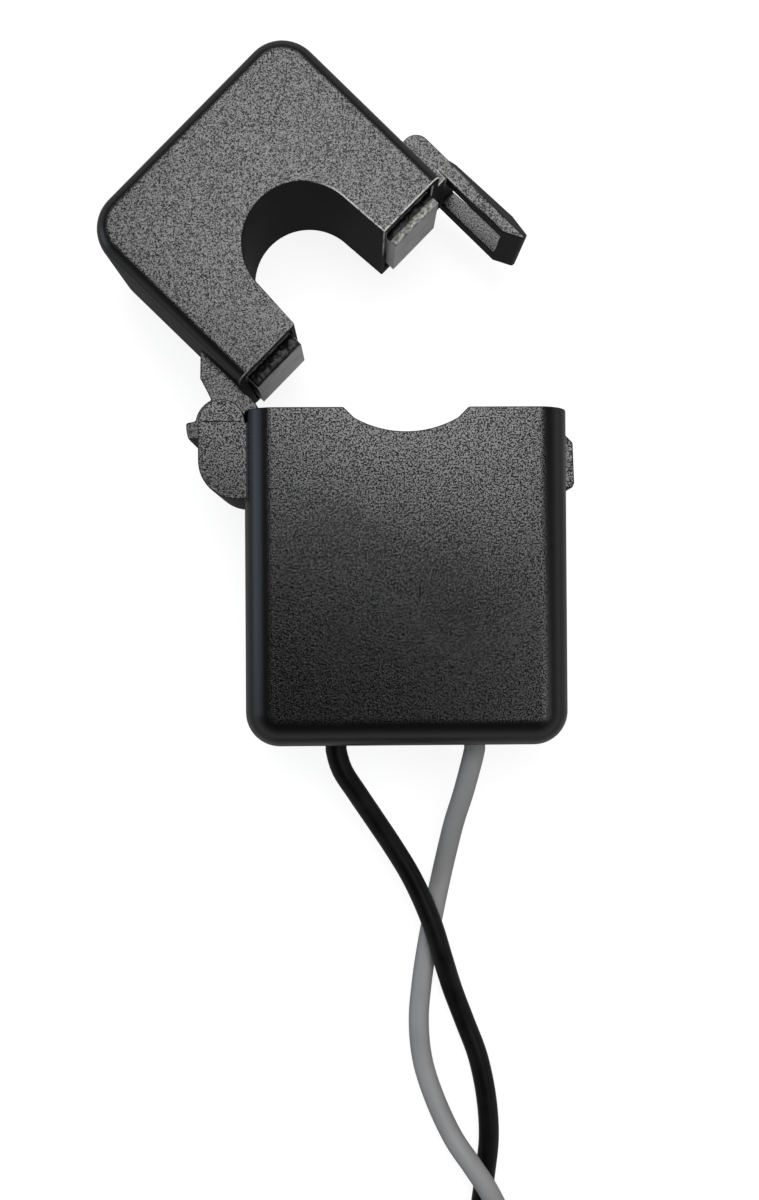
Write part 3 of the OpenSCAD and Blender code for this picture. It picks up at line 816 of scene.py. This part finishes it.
@dataclass
class Studio:
    """Camera, pale floor, soft light."""

    eye: Point = (-3.66, -2.49, 104.99)
    pitch: float = -0.47
    yaw: float = 0.93
    roll: float = 0.36
    focal: float = 36.0
    sensor: float = 36.0
    surround: float = 0.22
    overhead: float = 0.04
    floor_size: float = 1500.0
    floor_glow: float = 0.88
    floor_tone: float = 0.22
    mirrored_glow: float = 0.22
    mirrored_tone: float = 0.26

    def build(self) -> None:
        """Builds all of it."""
        self.camera()
        self.world()
        self.floor()
        self.softbox("key_light", (0, 140, 330), (-2, 20, 6), (250, 206), 5.0, tilt=-14.0)
        self.softbox("side_light", (180, -70, 320), (0, 0, 6), (170, 220), 1.8)
        self.softbox("cool_fill", (-360, 30, 150), (0, 0, 6), (160, 260), 1.8, (0.6, 0.77, 1.0))

    def camera(self) -> None:
        """Makes the camera."""
        lens = bpy.data.cameras.new("camera")
        lens.sensor_fit = "AUTO"
        lens.sensor_width = self.sensor
        lens.lens = self.focal
        lens.clip_start = 0.005
        camera = bpy.data.objects.new("camera", lens)
        bpy.context.scene.collection.objects.link(camera)
        pitch, yaw, roll = (math.radians(a) for a in (self.pitch, self.yaw, self.roll))
        turn = Matrix.Rotation(roll, 3, "Z") @ Matrix.Rotation(pitch, 3, "X") @ Matrix.Rotation(yaw, 3, "Y")
        camera.matrix_world = Matrix.Translation(Vector(self.eye) * MM) @ turn.transposed().to_4x4()
        bpy.context.scene.camera = camera

    def seen(self, tree: Tree) -> Value:
        """Tells which rays see the backdrop: from the camera, off a gloss or through glass.

        Args:
            tree: The tree that asks.

        Returns:
            1 for those rays, 0 for the rest.
        """
        path = tree.add("ShaderNodeLightPath").outputs
        rays = [Value(tree, path[n]) for n in ("Is Camera Ray", "Is Glossy Ray", "Is Transmission Ray")]
        return (rays[0] + rays[1] + rays[2]).step(0.0, 0.5)

    def world(self) -> None:
        """Lights softly from all round, white near the horizon and dim overhead."""
        world = bpy.data.worlds.new("studio")
        world.use_nodes = True
        bpy.context.scene.world = world
        tree = Tree(world.node_tree)
        way = tree.add("ShaderNodeTexCoord").outputs["Generated"]
        up = tree.value("ShaderNodeSeparateXYZ", {}, {0: way}, "Z")
        shade = 1 - up.step(0.05, 0.75) * (1 - self.overhead)
        seen = self.seen(tree)
        background = world.node_tree.nodes["Background"]
        tree.feed(background.inputs["Color"], (1.0, 1.0, 1.0))
        tree.feed(background.inputs["Strength"], seen * shade + (1 - seen) * self.surround)

    def floor(self) -> None:
        """Makes a white floor that keeps a faint shadow."""
        half = self.floor_size * MM / 2
        mesh = bpy.data.meshes.new("floor")
        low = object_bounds()[0].z - 0.02 * MM
        corners = [(-half, -half, low), (half, -half, low), (half, half, low), (-half, half, low)]
        mesh.from_pydata(corners, [], [(0, 1, 2, 3)])
        floor = bpy.data.objects.new("floor", mesh)
        bpy.context.scene.collection.objects.link(floor)
        shader = Shader("floor")
        path = shader.add("ShaderNodeLightPath").outputs
        looked_at = Value(shader, path["Is Camera Ray"])
        mirrored = Value(shader, path["Is Glossy Ray"]) + Value(shader, path["Is Transmission Ray"])
        glow = shader.mix(looked_at, grey(0.0), grey(self.floor_glow))
        glow = shader.mix(mirrored.step(0.0, 0.5), glow, grey(self.mirrored_glow))
        mesh.materials.append(
            shader.finish(
                Base_Color=shader.mix(looked_at, grey(self.mirrored_tone), grey(self.floor_tone)),
                Roughness=1.0,
                Specular_IOR_Level=0.0,
                Emission_Color=glow,
                Emission_Strength=1.0,
            )
        )
        floor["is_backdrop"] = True

    def softbox(
        self,
        name: str,
        at: Point,
        to: Point,
        size: tuple[float, float],
        level: float,
        colour: Colour = (1.0, 1.0, 1.0),
        tilt: float = 0.0,
    ) -> None:
        """Adds an area lamp that the camera doesn't see.

        Args:
            name: Its name.
            at: Where it stands, in millimetres.
            to: What it points at.
            size: Its width and height.
            level: How bright its face is, where 1 is white.
            colour: Its colour.
            tilt: How far it is turned about its own axis, in degrees.
        """
        lamp = bpy.data.lights.new(name, "AREA")
        lamp.shape = "RECTANGLE"
        lamp.size, lamp.size_y = size[0] * MM, size[1] * MM
        lamp.color = colour
        lamp.energy = level * lamp.size * lamp.size_y * math.pi
        holder = bpy.data.objects.new(name, lamp)
        bpy.context.scene.collection.objects.link(holder)
        holder.location = Vector(at) * MM
        aim = (Vector(to) - Vector(at)).to_track_quat("-Z", "Y").to_matrix()
        holder.rotation_euler = (aim @ Matrix.Rotation(math.radians(tilt), 3, "Z")).to_euler()
        holder.visible_camera = False


# ---- Case --------------------------------------------------------------------------------------


@dataclass
class RoundedShell:
    """A moulded part with the small radius that the mould leaves on every edge."""

    node: str
    body: str
    slot: str
    face: Finish
    edge: Finish
    radius: float = 0.1
    sharp: float = 32.0
    flat: float = 1.0
    weld: float = 0.004
    reshape: Callable[[Vector], Vector] | None = None

    def build(self, nodes: dict[str, bpy.types.Object]) -> bpy.types.Object:
        """Copies the CAD node, merges its triangles and rounds its edges.

        Args:
            nodes: The CAD nodes.

        Returns:
            The piece.
        """
        mesh = nodes[self.node].data.copy()
        mesh.transform(Matrix.Scale(1 / MM, 4))
        limit = math.radians(self.sharp)
        maker = bmesh.new()
        maker.from_mesh(mesh)
        bmesh.ops.remove_doubles(maker, verts=maker.verts, dist=self.weld)
        bmesh.ops.dissolve_degenerate(maker, dist=self.weld, edges=maker.edges)
        flat = math.radians(self.flat)
        bmesh.ops.dissolve_limit(maker, angle_limit=flat, verts=maker.verts, edges=maker.edges)
        if self.reshape:
            for vertex in maker.verts:
                vertex.co = self.reshape(vertex.co)
        for edge in maker.edges:
            edge.smooth = not (edge.is_manifold and edge.calc_face_angle() > limit)
        for face in maker.faces:
            face.smooth = True
            face.material_index = 0
        maker.to_mesh(mesh)
        maker.free()
        piece = new_piece(f"{self.node}_shell", mesh, self.face, self.edge)
        bevel = piece.modifiers.new("edge_radius", "BEVEL")
        bevel.width = self.radius
        bevel.segments = 2
        bevel.limit_method = "ANGLE"
        bevel.angle_limit = limit
        bevel.harden_normals = True
        bevel.use_clamp_overlap = False
        bevel.miter_outer = "MITER_SHARP"
        bevel.material = 1
        piece.data = evaluated(piece)
        piece.data.transform(Matrix.Scale(MM, 4))
        return keep(piece, self.body, self.slot, self.node)


@dataclass(frozen=True)
class StopTrim:
    """Narrows the knuckle's stop, whose mould leaves it rounded. Angles are those of the closed
    lid, in degrees, and lengths are from the pin's axis, in millimetres."""

    first: float = 117.5
    last: float = 170.5
    middle: float = 144.0
    new_middle: float = 143.0
    base: float = 2.25
    tip: float = 2.6
    base_share: float = 0.7
    tip_share: float = 0.5

    def __call__(self, point: Vector) -> Vector:
        """Moves one point of the stop towards the stop's middle.

        Args:
            point: A point of the lid in the row frame, in millimetres.

        Returns:
            Where it goes, which is where it was for a point that isn't on the stop.
        """
        axis = HINGE + CASE_UP
        out = Vector((point.x - axis.x, point.y - axis.y))
        angle = math.degrees(math.atan2(out.y, out.x)) % 360 - math.degrees(OPEN_ANGLE)
        if not (out.length > self.base and self.first < angle < self.last):
            return point
        share = self.tip_share if out.length > self.tip else self.base_share
        turned = math.radians(self.new_middle + (angle - self.middle) * share) + OPEN_ANGLE
        x, y = out.length * math.cos(turned), out.length * math.sin(turned)
        return Vector((axis.x + x, axis.y + y, point.z))


@dataclass
class PoleGlue:
    """Ridges along each upper pole's front edge: pale hardened glue, and near-black painted shade."""

    length: float = 4.85
    middle: float = 7.875
    front: float = 3.1
    lump: float = 0.45
    swell: float = 0.13
    grid: float = 0.09
    sunk: float = 0.03
    lowest: float = -0.83

    def build(self) -> bpy.types.Object:
        """Builds a near-black bank of painted shade on both poles, and a pale glue one over it on the pole
        by the latch.

        Returns:
            The piece.
        """
        maker = bmesh.new()
        # Slot 0 is near-black painted shade, for the shade by the shell's edge; slot 1 is pale dried glue.
        self.ridge(maker, -1, -0.8, 0.35, 0.5, 0)
        self.ridge(maker, 1, -0.3, 0.4, 0.42, 0)
        self.ridge(maker, 1, -0.8, -0.14, 0.5, 1)
        bmesh.ops.recalc_face_normals(maker, faces=maker.faces)
        mesh = made(maker, "pole_glue")
        piece = new_piece("pole_glue_and_painted_shade_ridges", mesh, Finish.PAINTED_SHADE_RIDGE, Finish.GLUE)
        return keep(piece, UPPER, "adhesive", "pole_glue")

    def ridge(
        self, maker: bmesh.types.BMesh, side: int, low: float, high: float, proud: float, slot: int
    ) -> None:
        """Adds one ridge: a lumpy half-round bank that sits on the steel.

        Args:
            maker: The mesh that it is added to.
            side: -1 for the pole by the hinge, 1 for the other.
            low: Where it begins, up from the parting line.
            high: Where it ends.
            proud: How far it stands out of the steel.
            slot: Its material slot.
        """
        along, across = round(self.length / self.grid), 12
        rows: list[list[bmesh.types.BMVert]] = []
        for i in range(along + 1):
            x = side * self.middle + (i / along - 0.5) * self.length
            taper = min(1.0, 6 * min(i, along - i) / along) ** 0.5
            row = []
            for k in range(across + 1):
                turn = math.pi * k / across
                point = Vector((x, 0.5 * (low + high) - 0.5 * (high - low) * math.cos(turn), 0.0))
                rough = noise.noise(Vector((x, point.y, 7.0 * side)) / self.lump)
                rough += 0.5 * noise.noise(Vector((x, point.y, 3.0)) / (0.35 * self.lump))
                edge = math.sin(turn) ** 0.3
                rise = math.sin(turn) ** 0.45 * proud * (0.55 + 0.45 * taper)
                point.y = max(self.lowest, point.y + self.swell * 0.5 * rough * edge)
                point.z = self.front - self.sunk + max(0.0, rise + self.swell * rough * edge * taper)
                row.append(maker.verts.new(Vector(swing(tuple(point))) * MM))
            rows.append(row)
        faces = []
        for a, b in zip(rows, rows[1:]):
            for k in range(across):
                faces.append(maker.faces.new((a[k], b[k], b[k + 1], a[k + 1])))
                faces[-1].smooth = True
        under = [r[0] for r in rows[::-1]] + [r[-1] for r in rows]
        faces += [maker.faces.new(f) for f in (rows[0], rows[-1][::-1], under)]
        for face in faces:
            face.material_index = slot


# ---- Wire and strands --------------------------------------------------------------------------


class Copies(Tree):
    """A Geometry Nodes tree that puts copies of one shape at a row of places."""

    def __init__(self, name: str, sizes: Sequence[str], count: str) -> None:
        """Starts the tree with its inputs.

        Args:
            name: The tree's name.
            sizes: The names of the inputs that are numbers.
            count: The name of the input that says how many copies there are.
        """
        self.group = bpy.data.node_groups.new(name, "GeometryNodeTree")
        face = self.group.interface
        for size in sizes:
            face.new_socket(size, in_out="INPUT", socket_type="NodeSocketFloat")
        face.new_socket(count, in_out="INPUT", socket_type="NodeSocketInt")
        face.new_socket("Geometry", in_out="OUTPUT", socket_type="NodeSocketGeometry")
        super().__init__(self.group)
        self.size = self.add("NodeGroupInput").outputs

    def swept(self, curve: bpy.types.NodeSocket, radius: str) -> bpy.types.NodeSocket:
        """Sweeps a round wire along a curve.

        Args:
            curve: The curve.
            radius: The name of the input that holds the wire's radius.

        Returns:
            The wire, closed at both ends if it has any.
        """
        sizes = {"Resolution": 8, "Radius": self.size[radius]}
        ring = self.add("GeometryNodeCurvePrimitiveCircle", {}, sizes).outputs[0]
        sweep = {"Curve": curve, "Profile Curve": ring, "Fill Caps": True}
        return self.add("GeometryNodeCurveToMesh", {}, sweep).outputs[0]

    def finish(self, finish: Finish, **inputs: object) -> None:
        """Ends the tree: makes the copies real and smooth and gives them their material.

        Args:
            finish: The material.
            inputs: The inputs of the node that makes the copies.
        """
        shape = self.add("GeometryNodeInstanceOnPoints", {}, inputs).outputs[0]
        for kind in ("GeometryNodeRealizeInstances", "GeometryNodeSetShadeSmooth"):
            shape = self.add(kind, {}, {"Geometry": shape}).outputs[0]
        inputs = {"Geometry": shape, "Material": finish.material()}
        self.add("NodeGroupOutput", {}, {0: self.add("GeometryNodeSetMaterial", {}, inputs).outputs[0]})

    def grow(self, name: str, place: Matrix, sizes: dict[str, float | int]) -> bpy.types.Object:
        """Runs the tree.

        Args:
            name: The new piece's name.
            place: How the copies are turned and moved.
            sizes: A value for each of the tree's inputs.

        Returns:
            The piece, as a plain mesh.
        """
        piece = new_piece(name, bpy.data.meshes.new(name))
        modifier = piece.modifiers.new(name, "NODES")
        modifier.node_group = self.group
        for item in self.group.interface.items_tree:
            if item.name in sizes:
                modifier[item.identifier] = sizes[item.name]
        piece.data = evaluated(piece)
        piece.data.transform(place)
        return piece


@dataclass
class Winding:
    """The turns of enamelled wire that show under the tape."""

    wire: float = 0.2
    corner: float = 0.5

    def build(self) -> bpy.types.Object:
        """Builds the outer layer of turns round the winding's core, where the CAD model's lies.

        Returns:
            The piece.
        """
        low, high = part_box("winding")
        wire = self.wire * MM
        sizes = {
            "Wire Radius": wire / 2,
            "Turn Width": high.y - low.y - wire,
            "Turn Depth": high.z - low.z - wire,
            "Corner": self.corner * MM,
            "Length": high.x - low.x - wire,
            "Turns": int((high.x - low.x) / wire),
        }
        piece = self.tree().grow("winding_turns", Matrix.Translation((low + high) / 2), sizes)
        return keep(piece, LOWER, "magnet_wire", "winding")

    def tree(self) -> Copies:
        """Makes the node tree of a row of rounded turns.

        Returns:
            The tree, with the turns' sizes as its inputs.
        """
        names = ("Wire Radius", "Turn Width", "Turn Depth", "Corner", "Length")
        tree = Copies("turns_of_wire", names, "Turns")
        size = tree.size
        sides = {"Width": size["Turn Width"], "Height": size["Turn Depth"]}
        plan = tree.add("GeometryNodeCurvePrimitiveQuadrilateral", {}, sides).outputs[0]
        corners = {"Curve": plan, "Count": 5, "Radius": size["Corner"]}
        rounded = tree.add("GeometryNodeFilletCurve", {"mode": "POLY"}, corners).outputs[0]
        turn = tree.swept(rounded, "Wire Radius")
        upright = {"Geometry": turn, "Rotation": (math.pi / 2, 0.0, math.pi / 2)}
        half = Value(tree, size["Length"]) * 0.5
        ends = {
            name: tree.add("ShaderNodeCombineXYZ", {}, {"X": x}).outputs[0]
            for name, x in (("Start", half * -1.0), ("End", half))
        }
        row = tree.add("GeometryNodeCurvePrimitiveLine", {}, ends).outputs[0]
        places = {"Curve": row, "Count": size["Turns"]}
        tree.finish(
            Finish.WIRE,
            Points=tree.add("GeometryNodeCurveToPoints", {}, places).outputs[0],
            Instance=tree.add("GeometryNodeTransform", {}, upright).outputs[0],
        )
        return tree


@dataclass
class StrandedTips:
    """The bared, tinned strands at the end of each lead, laid in a slow twist."""

    strand: float = 0.125
    strands: int = 6
    turns: float = 1.6

    def build(self) -> None:
        """Builds both ends where the CAD model's tips lie."""
        tree = self.tree()
        for colour in ("black", "white"):
            low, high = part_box(f"{colour}_tip")
            run = Vector((high.x - low.x, low.y - high.y, 0.0))
            across = (high.z - low.z) / 2
            start = Vector((low.x + across, high.y, 0.5 * (low.z + high.z)))
            heading = math.atan2(run.y + across, run.x - across)
            sizes = {
                "Strand Radius": self.strand * MM,
                "Lay Radius": across - self.strand * MM,
                "Length": run.length - 0.5 * across,
                "Turns": self.turns,
                "Strands": self.strands,
            }
            turn = Matrix.Rotation(heading, 4, "Z") @ Matrix.Rotation(math.pi / 2, 4, "Y")
            piece = tree.grow(f"{colour}_strands", Matrix.Translation(start) @ turn, sizes)
            keep(piece, LOWER, "tinned_copper", f"{colour}_tip")

    def tree(self) -> Copies:
        """Makes the node tree of a bundle of twisted strands.

        Returns:
            The tree, with the bundle's sizes as its inputs.
        """
        tree = Copies("twisted_strands", ("Strand Radius", "Lay Radius", "Length", "Turns"), "Strands")
        size = tree.size
        spiral = {
            "Resolution": 28,
            "Rotations": size["Turns"],
            "Start Radius": size["Lay Radius"],
            "End Radius": size["Lay Radius"],
            "Height": size["Length"],
        }
        line = tree.add("GeometryNodeCurveSpiral", {}, spiral).outputs[0]
        index = Value(tree, tree.add("GeometryNodeInputIndex").outputs[0])
        turn = index * (2 * math.pi) / Value(tree, size["Strands"])
        tree.finish(
            Finish.TIN,
            Points=tree.add("GeometryNodePoints", {}, {"Count": size["Strands"]}).outputs[0],
            Instance=tree.swept(line, "Strand Radius"),
            Rotation=tree.add("ShaderNodeCombineXYZ", {}, {"Z": turn}).outputs[0],
        )
        return tree


# ---- Leads -------------------------------------------------------------------------------------


@dataclass
class CoilTie:
    """A paper-covered wire round the coil, its two ends twisted together on top."""

    strap: float = 0.4
    corner: float = 1.1
    twist_length: float = 6.0
    twists: float = 2.5
    tail: float = 3.4
    tail_width: float = 1.9
    tail_thickness: float = 0.32
    twist_radius: float = 0.24
    spread_up: float = 0.35
    spread_aside: float = 0.1
    steps: int = 44

    def build(self) -> bpy.types.Object:
        """Builds the tie where the CAD model's tie lies.

        Returns:
            The piece.
        """
        self.low, self.high = (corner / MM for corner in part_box("lead_tie"))
        self.maker = bmesh.new()
        self.band()
        for side in (-1, 1):
            self.twisted_end(side)
        bmesh.ops.recalc_face_normals(self.maker, faces=self.maker.faces)
        piece = new_piece("coil_tie", made(self.maker, "coil_tie", MM), Finish.TIE)
        return keep(piece, LOWER, "tie_strip", "lead_tie")

    def sweep(self, frames: Frames, closed: bool) -> None:
        """Sweeps a flat strip with softened edges and a wire rib along its middle.

        Args:
            frames: At each place the strip's centre, half its width and half its thickness.
            closed: True if it ends where it begins.
        """
        section = ((-1, 0), (-0.9, 0.7), (-0.3, 0.8), (0, 1.25), (0.3, 0.8), (0.9, 0.7), (1, 0))
        section += tuple((a, -abs(b) if abs(a) > 0.2 else -0.8) for a, b in section[-2:0:-1])
        add = self.maker.faces.new
        rings = [[self.maker.verts.new(c + a * w + b * h) for a, b in section] for c, w, h in frames]
        for one, two in list(zip(rings, rings[1:])) + ([(rings[-1], rings[0])] if closed else []):
            for k in range(len(section)):
                n = (k + 1) % len(section)
                add((one[k], one[n], two[n], two[k])).smooth = True
        if not closed:
            add(rings[0])
            add(rings[-1][::-1])

    def band(self) -> None:
        """Adds the band round the coil."""
        half = Vector((0, 0.5 * (self.high.y - self.low.y), 0))
        inset = 0.5 * self.strap + 0.02
        x0, x1 = self.low.x + inset, self.high.x - inset
        z0, z1 = self.low.z + inset, self.high.z - inset
        r, mid_y = self.corner, 0.5 * (self.low.y + self.high.y)
        frames: Frames = []
        corners = ((x1 - r, z1 - r), (x0 + r, z1 - r), (x0 + r, z0 + r), (x1 - r, z0 + r))
        for start, (cx, cz) in zip((0, 90, 180, 270), corners):
            for k in range(9):
                a = math.radians(start + 90 * k / 8)
                out = Vector((math.cos(a), 0, math.sin(a)))
                frames.append((Vector((cx, mid_y, cz)) + r * out, half, 0.5 * self.strap * out))
            if start == 0:
                for k in range(1, 24):
                    x = (x1 - r) + (x0 - x1 + 2 * r) * k / 24
                    dip = 0.1 * math.sin(math.pi * 5 * k / 24) ** 2 - 0.05
                    frames.append((Vector((x, mid_y, z1 + dip)), half, Vector((0, 0, 0.5 * self.strap))))
        self.sweep(frames, True)

    def twisted_end(self, side: int) -> None:
        """Adds one of the two ends: twisted with the other, then spread away from it.

        Args:
            side: -1 or 1.
        """
        start = Vector((0.5 * (self.low.x + self.high.x), self.high.y - 1.0, self.high.z + 0.1))
        ahead = Vector((0.18, 1.0, 0.1)).normalized()
        aside = ahead.cross(Vector((0, 0, 1))).normalized()
        up = aside.cross(ahead)
        frames: Frames = []
        for k in range(self.steps + 1):
            s = k / self.steps * (self.twist_length + self.tail)
            share = min(1.0, s / self.twist_length)
            spread = max(0.0, s - self.twist_length)
            turn = 2 * math.pi * self.twists * ease(share)
            out = side * (math.cos(turn) * up + math.sin(turn) * aside)
            along = math.sin(turn) * up - math.cos(turn) * aside
            grow = min(1.0, s / 0.8)
            centre = start + s * ahead + self.twist_radius * out
            centre += spread * side * (self.spread_up * up + self.spread_aside * aside)
            half = 0.5 * self.tail_width * (0.5 + 0.5 * grow)
            frames.append((centre, half * along, 0.5 * self.tail_thickness * out))
        self.sweep(frames, False)


@dataclass
class Leads:
    """Two leads: their way out of the case, the coil they are wound in and their bare ends."""

    diameter: float = 1.75
    length: float = 1000.0
    out_x: float = 5.7
    inside: float = 2.2
    turns: int = 10
    columns: int = 5
    rows: int = 4
    spacing: float = 1.03
    nesting: float = 0.9
    turn_bulge: float = 0.35
    turn_step: float = 7.5
    line_step: float = 0.6
    sides: int = 14
    coil_radius: float = 15.0
    coil_x: float = -8.8
    coil_below: float = 63.0
    change_from: float = 150.0
    change_to: float = 92.0
    end_at: float = 8.0
    black_route: Sequence[Point] = (
        (-5.7, -0.8, 6.2), (-5.2, -2.5, 6.0), (-4.0, -4.5, 5.2), (-2.5, -6.9, 4.2), (-1.0, -9.3, 3.4),
        (0.4, -11.7, 2.9), (1.5, -14.0, 2.7), (2.4, -16.3, 2.7), (3.2, -19.0, 2.4), (4.1, -22.0, 1.4),
        (5.2, -25.0, 0.9), (6.3, -28.0, 0.9), (7.0, -31.5, 0.9), (7.2, -35.0, 0.9), (6.8, -38.5, 0.9),
        (6.4, -42.0, 0.9), (6.8, -45.5, 0.9), (7.5, -48.5, 0.9), (8.0, -51.6, 0.9),
    )
    white_route: Sequence[Point] = (
        (5.7, -0.8, 6.2), (5.3, -2.6, 5.8), (4.8, -4.8, 4.8), (4.2, -7.2, 3.4), (3.7, -9.8, 2.0),
        (3.2, -12.4, 1.0), (2.6, -15.2, 0.9), (2.0, -18.2, 0.9), (1.5, -21.4, 0.9), (1.2, -24.8, 0.9),
        (1.5, -28.2, 0.9), (2.5, -31.4, 1.2), (4.0, -34.4, 2.2), (5.6, -36.6, 2.8), (7.0, -38.8, 2.8),
        (8.2, -41.6, 2.2), (9.0, -45.0, 1.1), (9.6, -48.4, 0.9), (9.8, -51.6, 0.9), (9.8, -54.6, 0.9),
    )

    def build(self) -> None:
        """Builds both leads, their bare ends and the tie."""
        low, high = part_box("lower_case")
        self.bottom = low.y / MM
        self.mid = 0.5 * (low.z + high.z) / MM
        self.pitch = self.spacing * self.diameter
        StrandedTips().build()
        CoilTie().build()
        self.lead("black", -1, self.black_route, 1, Finish.BLACK_LEAD)
        self.lead("white", 1, self.white_route, 0, Finish.WHITE_LEAD)

    def slot_at(self, place: float) -> tuple[float, float]:
        """A place along the coil's back-and-forth stacking, as a column and a row.

        Args:
            place: How many turns in, over both leads. Whole numbers are turns at rest.

        Returns:
            The column, 0 innermost, and the row, 0 lowest.
        """
        row = math.floor(place / self.columns)
        left = place - row * self.columns
        inward = row % 2 == 0
        if left <= self.columns - 1:
            return (self.columns - 1 - left if inward else left), float(row)
        rise = left - (self.columns - 1)
        bulge = self.turn_bulge * math.sin(math.pi * rise)
        return (-bulge if inward else self.columns - 1 + bulge), row + rise

    def spot(self, angle: float, column: float, row: float) -> Vector:
        """A point in the coil.

        Args:
            angle: The angle about the coil's centre, in degrees.
            column: The column.
            row: The row.

        Returns:
            The point, in metres.
        """
        radius = self.coil_radius + (column - (self.columns - 1) / 2) * self.pitch
        a = math.radians(angle)
        top = self.rows - 1
        stacked = min(row, top) * self.nesting * self.pitch
        height = stacked + max(0.0, row - top) * self.diameter + self.diameter / 2
        centre = Vector((self.coil_x, self.bottom - self.coil_below, height))
        return (centre + radius * Vector((math.cos(a), math.sin(a), 0))) * MM

    def coil(self, first: int) -> list[Vector]:
        """The coiled stretch of one lead, clockwise as seen from above.

        Args:
            first: The lead's first place in the stacking, 0 or 1.

        Returns:
            Points along it.
        """
        points = []
        start, stop = 360 - self.change_from, 360 - self.change_to
        for i in range(1, int(self.turns * 360 / self.turn_step) + 1):
            turn, within = divmod(i * self.turn_step, 360.0)
            share = ease(min(1.0, max(0.0, (within - start) / (stop - start))))
            if turn == self.turns - 1 and within > start:
                break
            column, row = self.slot_at(first + 2 * turn + 2 * share)
            if within >= stop and turn < self.turns - 1:
                column, row = self.slot_at(first + 2 * (turn + 1))
            points.append(self.spot(-i * self.turn_step, column, row))
        return points

    def end(self, column: float, to_column: float) -> list[Vector]:
        """The last stretch: up on top of the coil and along it.

        Args:
            column: The column of the lead's last turn.
            to_column: The column that its end lies in.

        Returns:
            Points along it.
        """
        points = []
        span, steps = self.change_from - self.end_at, 16
        for i in range(steps + 1):
            share = min(1.0, i / steps * span / (self.change_from - self.change_to))
            lift = ease(min(1.0, share / 0.5))
            aside = column + (to_column - column) * ease(max(0.0, (share - 0.3) / 0.7))
            points.append(self.spot(self.change_from - i * span / steps, aside, self.rows - 1 + lift))
        return points

    def lead(self, colour: str, side: int, route: Sequence[Point], first: int, finish: Finish) -> None:
        """Builds one lead.

        Args:
            colour: Its colour's name in the record's slots and nodes.
            side: -1 for the lead on the hinge side, 1 for the other.
            route: Its way over the floor, as in the CAD source.
            first: Its first place in the coil's stacking.
            finish: Its material.
        """
        exit_point = Vector((side * self.out_x, self.bottom, self.mid)) * MM
        points = [exit_point + Vector((0, self.inside * MM, 0)), exit_point]
        points += [Vector((x, y + self.bottom, z)) * MM for x, y, z in route]
        column = self.columns - 1 - first
        last = self.spot(0, column, 0)
        gap = points[-1].y - last.y
        points += [Vector((last.x, points[-1].y - gap * k / 3, last.z)) for k in (1, 2)]
        points.append(last)
        points += self.coil(first)
        points += self.end(column=float(self.columns - 2 + first), to_column=1.0 + 2 * first)
        line = smooth_line(points, self.line_step * MM)
        length = sum((b - a).length for a, b in zip(line, line[1:]))
        piece = new_piece(f"lead_{colour}_whole", tube(line, self.diameter / 2 * MM, self.sides), finish)
        LOG.info("%s is %.0f mm long", piece.name, length / MM)
        nodes = [f"lead_{colour}"] + (["lead_coil"] if colour == "black" else [])
        keep(piece, LOWER, f"{colour}_insulation", *nodes)


# ---- The whole ---------------------------------------------------------------------------------

PLAIN_NODES = {
    "hinge_pin": Finish.PIN,
    "lower_core": Finish.CORE,
    "upper_core": Finish.CORE,
    "bobbin_front": Finish.BOBBIN,
    "bobbin_back": Finish.BOBBIN,
    "winding_tape": Finish.TAPE,
    "coil_tails": Finish.WIRE,
    "terminal_board": Finish.BOARD,
    "burden_resistor": Finish.RESISTOR,
    "solder_joints": Finish.SOLDER,
    "lead_seals": Finish.RESIN,
    "core_spring": Finish.SPRING,
}

def dress(nodes: dict[str, bpy.types.Object], finishes: dict[str, Finish]) -> None:
    """Gives CAD nodes that stay as they are their finishes.

    Args:
        nodes: The CAD nodes.
        finishes: A finish for each.
    """
    for name, finish in finishes.items():
        for slot in nodes[name].material_slots:
            slot.material = finish.material()
        LOG.info("%s: %s", name, finish.value.name)


def main() -> None:
    """Builds the scene."""
    logging.basicConfig(level=logging.INFO, format="%(message)s")
    scene = bpy.context.scene
    for thing in list(scene.objects):
        bpy.data.objects.remove(thing)
    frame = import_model()
    scene.view_settings.view_transform = "Standard"
    Studio().build()
    nodes = frame["nodes"]
    dress(nodes, PLAIN_NODES)
    for shell in (
        RoundedShell("lower_case", LOWER, "case_plastic", Finish.CASE, Finish.CASE_EDGE),
        RoundedShell("lower_cover", LOWER, "cover_plastic", Finish.COVER, Finish.COVER),
        RoundedShell("upper_case", UPPER, "case_plastic", Finish.LID, Finish.LID_EDGE, reshape=StopTrim()),
    ):
        shell.build(nodes)
    PoleGlue().build()
    Winding().build()
    Leads().build()


if __name__ == "__main__":
    main()
